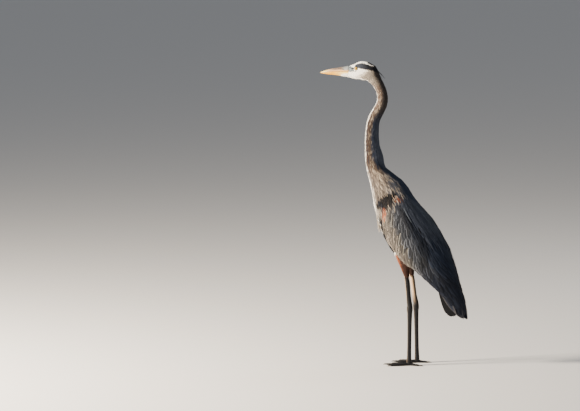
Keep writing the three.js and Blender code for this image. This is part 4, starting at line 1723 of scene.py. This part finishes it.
group_in, group_out = node(barbs, "NodeGroupInput"), node(barbs, "NodeGroupOutput")
across_vane, along_vane, barb_count = (group_in.outputs[name] for name in GROUP_INPUTS)
signed = math_node(barbs, "MULTIPLY_ADD", across_vane, 2.0, -1.0)
from_shaft = math_node(barbs, "ABSOLUTE", signed)
slant = math_node(barbs, "MULTIPLY_ADD", from_shaft, -BARB_SLANT, along_vane)
strand_x = math_node(barbs, "MULTIPLY", slant, barb_count)
strand_y = math_node(barbs, "MULTIPLY", across_vane, 1.6)
strand_place = node(barbs, "ShaderNodeCombineXYZ", {"X": strand_x, "Y": strand_y}).outputs[0]
edge = smooth_range(barbs, from_shaft, 0.45, 0.88)
tip = smooth_range(barbs, along_vane, 0.80, 0.99)
set_inputs(group_out, {
    "Strand": noise(barbs, strand_place, 1.0, noise_dimensions="2D"),
    "Margin": math_node(barbs, "MAXIMUM", edge, tip),
    "Shaft": smooth_range(barbs, from_shaft, 0.12, 0.02),
})
print("the barbs group has", len(barbs.nodes), "nodes")

# %% [markdown]
# ### Feather material
# The tints come from the vane's attributes. The barbs only dim them and give the bump, so that the colours of
# skin and coat stay the same.

# %% The plumage material
def mix_colours(tree, first, second, factor, blend="MIX"):
    """A mix of two colours. Each input is a value or another node's output."""
    inputs = {"Factor": factor, 6: first, 7: second}
    return node(tree, "ShaderNodeMix", inputs, data_type="RGBA", blend_type=blend).outputs[2]


def painted(tree, name):
    """The outputs that read a colour stored on the mesh."""
    return node(tree, "ShaderNodeAttribute", attribute_name=name).outputs


def dim_by(tree, colour, pattern, dim, low, high):
    """The colour, multiplied by dim where the pattern is below low."""
    dimmed = mix_colours(tree, colour, (*dim, 1), 1.0, "MULTIPLY")
    return mix_colours(tree, dimmed, colour, smooth_range(tree, pattern, low, high))


def bump(tree, height, strength, distance):
    """A normal raised by a pattern."""
    inputs = {"Height": height, "Strength": strength, "Distance": distance}
    return node(tree, "ShaderNodeBump", inputs).outputs["Normal"]


SHAFT_COLOUR = (0.02, 0.02, 0.025, 1)


def plumage_material(name, barb_count, roughness, sheen, shaft=0.25, dim=0.72):
    """Feather vanes coloured by their own attributes."""
    material, tree, shader = new_material(name, roughness)
    uv = node(tree, "ShaderNodeUVMap", uv_map="vane").outputs["UV"]
    parts = node(tree, "ShaderNodeSeparateXYZ", {0: uv}).outputs
    inputs = {"Across": parts["X"], "Along": parts["Y"], "Count": barb_count}
    pattern = node(tree, "ShaderNodeGroup", node_tree=barbs)
    set_inputs(pattern, inputs)
    strand, margin, stripe = (pattern.outputs[name] for name in GROUP_OUTPUTS)
    trim = painted(tree, "trim")
    margin = math_node(tree, "MULTIPLY", margin, trim["Alpha"])
    colour = mix_colours(tree, painted(tree, "tint")["Color"], trim["Color"], margin)
    colour = dim_by(tree, colour, strand, (dim, dim, dim), 0.25, 0.75)
    colour = mix_colours(tree, colour, SHAFT_COLOUR, math_node(tree, "MULTIPLY", stripe, shaft))
    set_inputs(shader, {
        "Base Color": colour, "Normal": bump(tree, strand, 0.35, 0.0004),
        "Specular IOR Level": 0.14, "Sheen Weight": sheen, "Sheen Roughness": 0.5,
    })
    return material


print("tools for materials:", [tool.__name__ for tool in (mix_colours, painted, dim_by, bump)])

# %% [markdown]
# Short face feathers get few, soft barbs, and wing feathers many fine ones with a slight shine.

# %% Dress the coat
COAT_MATERIALS = {
    "head": plumage_material("feather_head", 9, 0.85, 0.04, 0.1, 0.86),
    "neck": plumage_material("feather_neck", 14, 0.8, 0.03, 0.15),
    "trunk": plumage_material("feather_body", 24, 0.75, 0.02),
    "wing": plumage_material("feather_wing", 30, 0.65, 0.02),
    "thigh": plumage_material("feather_thigh", 14, 0.85, 0.04, 0.1),
}
for item in coat:
    item.data.materials.append(COAT_MATERIALS[item["kind"]])
print(len(coat), "objects of feathers have their material")

# %% [markdown]
# ### Skin material
# Under the coat the skin is matt down. On the legs it is scaly and shines a little.

# %% The skin material
def object_place(tree):
    return node(tree, "ShaderNodeTexCoord").outputs["Object"]


def skin_material(name, roughness, mottle_scale, bump_distance, shine):
    """Skin with a soft mottle over its painted tint."""
    material, tree, shader = new_material(name, roughness)
    mottle = noise(tree, object_place(tree), mottle_scale, 3.0)
    set_inputs(shader, {
        "Base Color": dim_by(tree, painted(tree, "tint")["Color"], mottle, (0.6, 0.6, 0.6), 0.3, 0.6),
        "Normal": bump(tree, mottle, 0.5, bump_distance), "Specular IOR Level": shine,
    })
    return material


skin.data.materials.append(skin_material("skin_down", 0.9, 900, 0.0004, 0.14))
skin.data.materials.append(skin_material("skin_scaly", 0.55, 700, 0.0003, 0.22))
print("the skin's materials:", [material.name for material in skin.data.materials])

# %% [markdown]
# ## The bill
# The bill is two horn sheaths round bone. The CAD nodes give its dagger shape, so each is copied, remeshed
# with fine voxels and smoothed. Its base is drawn back under the face's feathers. Then the nostril is pressed
# in: a long slit, at the back of a groove that runs on towards the tip.

# %% Shape the bill
BILL_BASE_X = -252
BILL_UNDER_SKIN = 7.0
HORN_SWELL, HORN_VOXEL = 0.1 * MM, 0.75 * MM
NOSTRIL = {"from": -294, "to": -270, "height": 1154.5, "depth": 1.4}


def bill_half(name, node_name):
    """One horn sheath, and how deep in the nostril's slit each of its points lies, from 0 to 1."""
    mesh = voxel_skin(name, gather([node_name], HORN_SWELL), HORN_VOXEL, 6)
    points, normals = mesh_arrays(mesh)
    place = in_mm(points)
    back = ramp(place[:, 0], BILL_BASE_X - 2.4, BILL_BASE_X - 1.2)
    points[:, 0] += back * BILL_UNDER_SKIN * MM
    points[:, 1] *= 1 - 0.16 * back
    points[:, 2] += (BILL_AXIS_Z - place[:, 2]) * 0.14 * back * MM
    slit_line = NOSTRIL["height"] - 0.06 * (place[:, 0] - NOSTRIL["to"])
    from_slit = np.abs(place[:, 2] - slit_line)
    slit = ramp(from_slit, 1.5, 0.3) * ramp(place[:, 0], NOSTRIL["from"] - 2, NOSTRIL["from"] + 2)
    slit *= ramp(place[:, 0], NOSTRIL["to"] + 2, NOSTRIL["to"] - 2)
    groove = ramp(from_slit, 3.2, 0.5) * ramp(place[:, 0], -335, -300) * ramp(place[:, 0], -256, -266)
    sunk = (slit * NOSTRIL["depth"] + groove * 0.55) * ramp(np.abs(normals[:, 1]), 0.2, 0.6)
    move_points(mesh, points - normals * (sunk * MM)[:, None])
    set_smooth(mesh)
    return mesh, slit


print("the nostril is", NOSTRIL["to"] - NOSTRIL["from"], "mm long")

# %% [markdown]
# ### The bill's colours
# The lower half is orange-yellow. The upper half is dusky on top, grey at its root, and both pale towards the
# tip. Heights are measured from the line of the mouth.

# %% Paint the bill
HORN_ORANGE = linear(238, 172, 20)
HORN_PINK = linear(204, 168, 132)
HORN_CREAM = linear(246, 224, 146)
HORN_DUSK = linear(70, 70, 74)
HORN_BROWN = linear(138, 86, 60)
MOUTH_LINE = ((-240, 1145.5), (-270, 1145), (-300, 1144), (-330, 1142), (-380, 1137.8))


def bill_colours(place, is_upper, slit):
    """The colour of either half of the bill at each point."""
    x, z = place[:, 0], place[:, 2]
    from_mouth = z - curve_through(-x, *[(-a, b) for a, b in MOUTH_LINE])
    if is_upper:
        depth = curve_through(-x, (252, 22), (300, 14), (330, 9), (367, 1.5))
        high = from_mouth / depth
        colour = mix(HORN_PINK, HORN_ORANGE, ramp(high, 0.5, 0.1) * 0.5)
        # The upper tip's cream is partly the horn's own pale tip and partly a painted highlight.
        colour = mix(colour, HORN_CREAM, ramp(x, -325, -352))
        colour = mix(colour, HORN_DUSK, ramp(high, 0.35, 0.7) * ramp(x, -336, -304) * 0.75)
        base = ramp(x, -285, -264) * ramp(high, 0.10, 0.35)
        colour = mix(colour, LORE_GREY, base * 0.85)
        flecks = np.sin(x * 0.9 + 2 * np.sin(z * 0.9)) * np.sin(z * 1.3 + x * 0.3)
        colour = mix(colour, INK, ramp(flecks, 0.2, 0.7) * base * 0.45)
        colour = mix(colour, HORN_BROWN, ramp(from_mouth, 2.6, 0.6) * ramp(x, -352, -325) * 0.75)
        return mix(colour, INK, slit)
    colour = mix(HORN_ORANGE, HORN_CREAM, ramp(from_mouth, -4.0, -0.5) * 0.25)
    colour = mix(colour, HORN_CREAM, ramp(x, -318, -270) * 0.7)
    return mix(colour, WHITE * 0.95, ramp(x, -290, -268) * ramp(from_mouth, -5, -10))


bill = []
for name, node_name in (("bill_horn_upper", "bill_upper"), ("bill_horn_lower", "bill_lower")):
    mesh, slit = bill_half(name, node_name)
    place = in_mm(mesh_arrays(mesh)[0])
    paint_points(mesh, "tint", bill_colours(place, node_name == "bill_upper", slit))
    item = add_object(name, mesh)
    bill.append((item, node_name))
    print(name, "has", len(mesh.polygons), "faces")

# %% [markdown]
# ## Feathers on the bill's root
# The chin's white feathers run forward under the lower half of the bill. They root on the horn and are walked
# over horn and face alike, so they cover the seam between the two.

# %% Grow the chin feathers
CHIN_FRONT_X = -284
CHIN_LIE = (1.0, 0.0, -0.08)


def chin_spacing(points):
    """The feathers' spacing on the lower horn, or NEVER where it is bare."""
    place = in_mm(points)
    below_mouth = BILL_AXIS_Z - place[:, 2]
    front = CHIN_FRONT_X + 34 * ramp(below_mouth, 15, 3)
    is_chin = (place[:, 0] > front) & (place[:, 0] < BILL_BASE_X + 4) & (below_mouth > 2.0)
    return np.where(is_chin, 1.4, NEVER)


lower_horn = bill[1][0].data
chin_roots, _, _ = scatter(lower_horn, chin_spacing)
count = len(chin_roots)
horn_points = mesh_arrays(lower_horn)[0]
face_tree = face_finder(
    [*horn_points, *body_points], faces_of(lower_horn) + faces_of(body_mesh, len(horn_points))
)
chin_normals = normals_at(face_tree, chin_roots)
heading = along_skin(np.tile(CHIN_LIE, (count, 1)), chin_normals)
heading = turn_about(heading, chin_normals, random.normal(0, 0.10, count))
chin_lengths = random.uniform(5, 7, count) * MM
places, normals = walk(face_tree, chin_roots, heading, chin_lengths, STATIONS["scale"])
raised = (0.12 + 0.11 * STATIONS["scale"][None] * chin_lengths[:, None] / MM) * MM
places = places + normals * raised[:, :, None]
tint = np.tile(WHITE, (count, 1)) * random.uniform(0.85, 1.0, count)[:, None]
trim = np.tile([*WHITE, 0.2], (count, 1))
rows = list(zip(places, normals, random.uniform(1.7, 2.3, count), tint, trim))
chin = lay_feathers("chin_feathers", rows, "scale", "head", 0.12)
chin.data.materials.append(COAT_MATERIALS["head"])

# %% [markdown]
# ## Eyes
# Each eye is a ball whose clear front bulges a little. The iris is painted by distance from the eye's axis: a
# black pupil, a yellow ring with fine spokes and a dark rim. A smooth clear coat makes it wet.

# %% Make the eyes
CORNEA_BULGE = 0.55
CORNEA_RADIUS = 5.0
eyes = []
for side, sign in SIDES.items():
    ball = bmesh.new()
    bmesh.ops.create_uvsphere(ball, u_segments=48, v_segments=32, radius=EYE_RADIUS)
    bmesh.ops.rotate(ball, verts=ball.verts, matrix=Matrix.Rotation(math.radians(90), 3, "X"))
    for vertex in ball.verts:
        from_axis = math.hypot(vertex.co.x, vertex.co.z) / MM
        if vertex.co.y * sign > 0:
            vertex.co.y += sign * CORNEA_BULGE * MM * max(0.0, 1 - (from_axis / CORNEA_RADIUS) ** 2)
    bmesh.ops.translate(ball, verts=ball.verts, vec=eye_centre[side])
    mesh = bpy.data.meshes.new(f"eyeball_{side}")
    ball.to_mesh(mesh)
    ball.free()
    set_smooth(mesh)
    item = add_object(f"eyeball_{side}", mesh)
    unwrap(item, "OFBake")
    eyes.append((item, f"eye_{side}"))
print("each eye has", len(mesh.polygons), "faces")

# %% [markdown]
# ## Claws
# The CAD's claws have the right shape but few faces. A copy of each is merged and given a subdivision
# surface.

# %% Make the claws
CLAW_NODES = [f"claw_{toe}_{side}" for side in SIDES for toe in TOES]
claws = add_object("claws", gather(CLAW_NODES, 0.35 * MM))
rounding = claws.modifiers.new("rounding", "SUBSURF")
rounding.levels = 2
rounding.render_levels = 2
set_smooth(claws.data)
print("the claws are", len(CLAW_NODES), "hooks")

# %% [markdown]
# ## Horn, eye and claw materials
# Horn is made of fine layers, which show as streaks along the bill.

# %% The horn material
LONG_STREAKS = (0.06, 1, 1)
STREAK_DIM = (0.78, 0.72, 0.66)
horn, tree, shader = new_material("horn_bill", 0.42)
stretch = node(tree, "ShaderNodeMapping", {"Vector": object_place(tree), "Scale": LONG_STREAKS}).outputs[0]
streaks = noise(tree, stretch, 900, 4.0)
set_inputs(shader, {
    "Base Color": dim_by(tree, painted(tree, "tint")["Color"], streaks, STREAK_DIM, 0.3, 0.62),
    "Normal": bump(tree, streaks, 0.25, 0.0003),
    "Specular IOR Level": 0.35, "Coat Weight": 0.06, "Coat Roughness": 0.25,
})
for item, _ in bill:
    item.data.materials.append(horn)
print("the bill's streaks are", round(1 / LONG_STREAKS[0]), "times as long as wide")

# %% [markdown]
# The iris is drawn in rings by the distance from the eye's axis. A clear coat over it gives the wet glint.

# %% The eye material
IRIS_YELLOW = linear(246, 200, 48)
IRIS_AMBER = linear(214, 132, 24)
RIM_COLOUR = (0.05, 0.03, 0.01, 1)
PUPIL_COLOUR = (0.004, 0.004, 0.004, 1)
PUPIL_RADIUS, IRIS_RADIUS = 2.8, 5.9
wet_eye, tree, shader = new_material("wet_eye", 0.3)
axis = (eye_centre["left"].x, 0, eye_centre["left"].z)
from_eye = node(tree, "ShaderNodeVectorMath", {0: object_place(tree), 1: axis}, operation="SUBTRACT")
in_rings = {0: from_eye.outputs[0], 1: (1 / MM, 0, 1 / MM)}
flat = node(tree, "ShaderNodeVectorMath", in_rings, operation="MULTIPLY").outputs[0]
radius = node(tree, "ShaderNodeVectorMath", {0: flat}, operation="LENGTH").outputs["Value"]
outwards = node(tree, "ShaderNodeVectorMath", {0: flat}, operation="NORMALIZE").outputs[0]
spoke = smooth_range(tree, noise(tree, outwards, 9.0), 0.4, 0.75)
iris = mix_colours(tree, (*IRIS_YELLOW, 1), (*IRIS_AMBER, 1), spoke)
iris = mix_colours(tree, iris, RIM_COLOUR, smooth_range(tree, radius, IRIS_RADIUS - 0.9, IRIS_RADIUS + 0.4))
pupil = smooth_range(tree, radius, PUPIL_RADIUS + 0.15, PUPIL_RADIUS - 0.15)
iris = mix_colours(tree, iris, PUPIL_COLOUR, pupil)
set_inputs(shader, {"Base Color": iris, "Coat Weight": 1.0, "Coat Roughness": 0.02})
for item, _ in eyes:
    item.data.materials.append(wet_eye)
print("the pupils are", 2 * PUPIL_RADIUS, "mm wide and the irises", 2 * IRIS_RADIUS, "mm")

# %% [markdown]
# Claws are nearly black horn, a little worn.

# %% The claw material
CLAW_DARK, CLAW_WORN = (0.02, 0.018, 0.016, 1), (0.075, 0.062, 0.05, 1)
claw_horn, tree, shader = new_material("horn_claw", 0.38)
streaks = noise(tree, object_place(tree), 600.0)
set_inputs(shader, {"Base Color": mix_colours(tree, CLAW_DARK, CLAW_WORN, streaks)})
claws.data.materials.append(claw_horn)
print("materials:", [material.name for material in bpy.data.materials])

# %% [markdown]
# ## Onto the frame
# Every piece rides on the bird's one body, and stands in for the CAD nodes that it covers.

# %% Tie everything to the frame
FLESH = BODY_NODES + WING_NODES + LEG_NODES + TOE_NODES
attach(skin, BODY)
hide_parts(*FLESH)
for item in coat:
    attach(item, BODY)
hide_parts("primaries_left", "primaries_right")
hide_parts("tail")
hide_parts("crest_plume_left", "crest_plume_right")
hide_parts("breast_plumes")
for item, node_name in bill:
    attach(item, BODY)
    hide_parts(node_name)
for item, node_name in eyes:
    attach(item, BODY)
    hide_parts(node_name)
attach(claws, BODY)
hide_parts(*CLAW_NODES)
print("the skin stands in for", len(FLESH), "nodes")
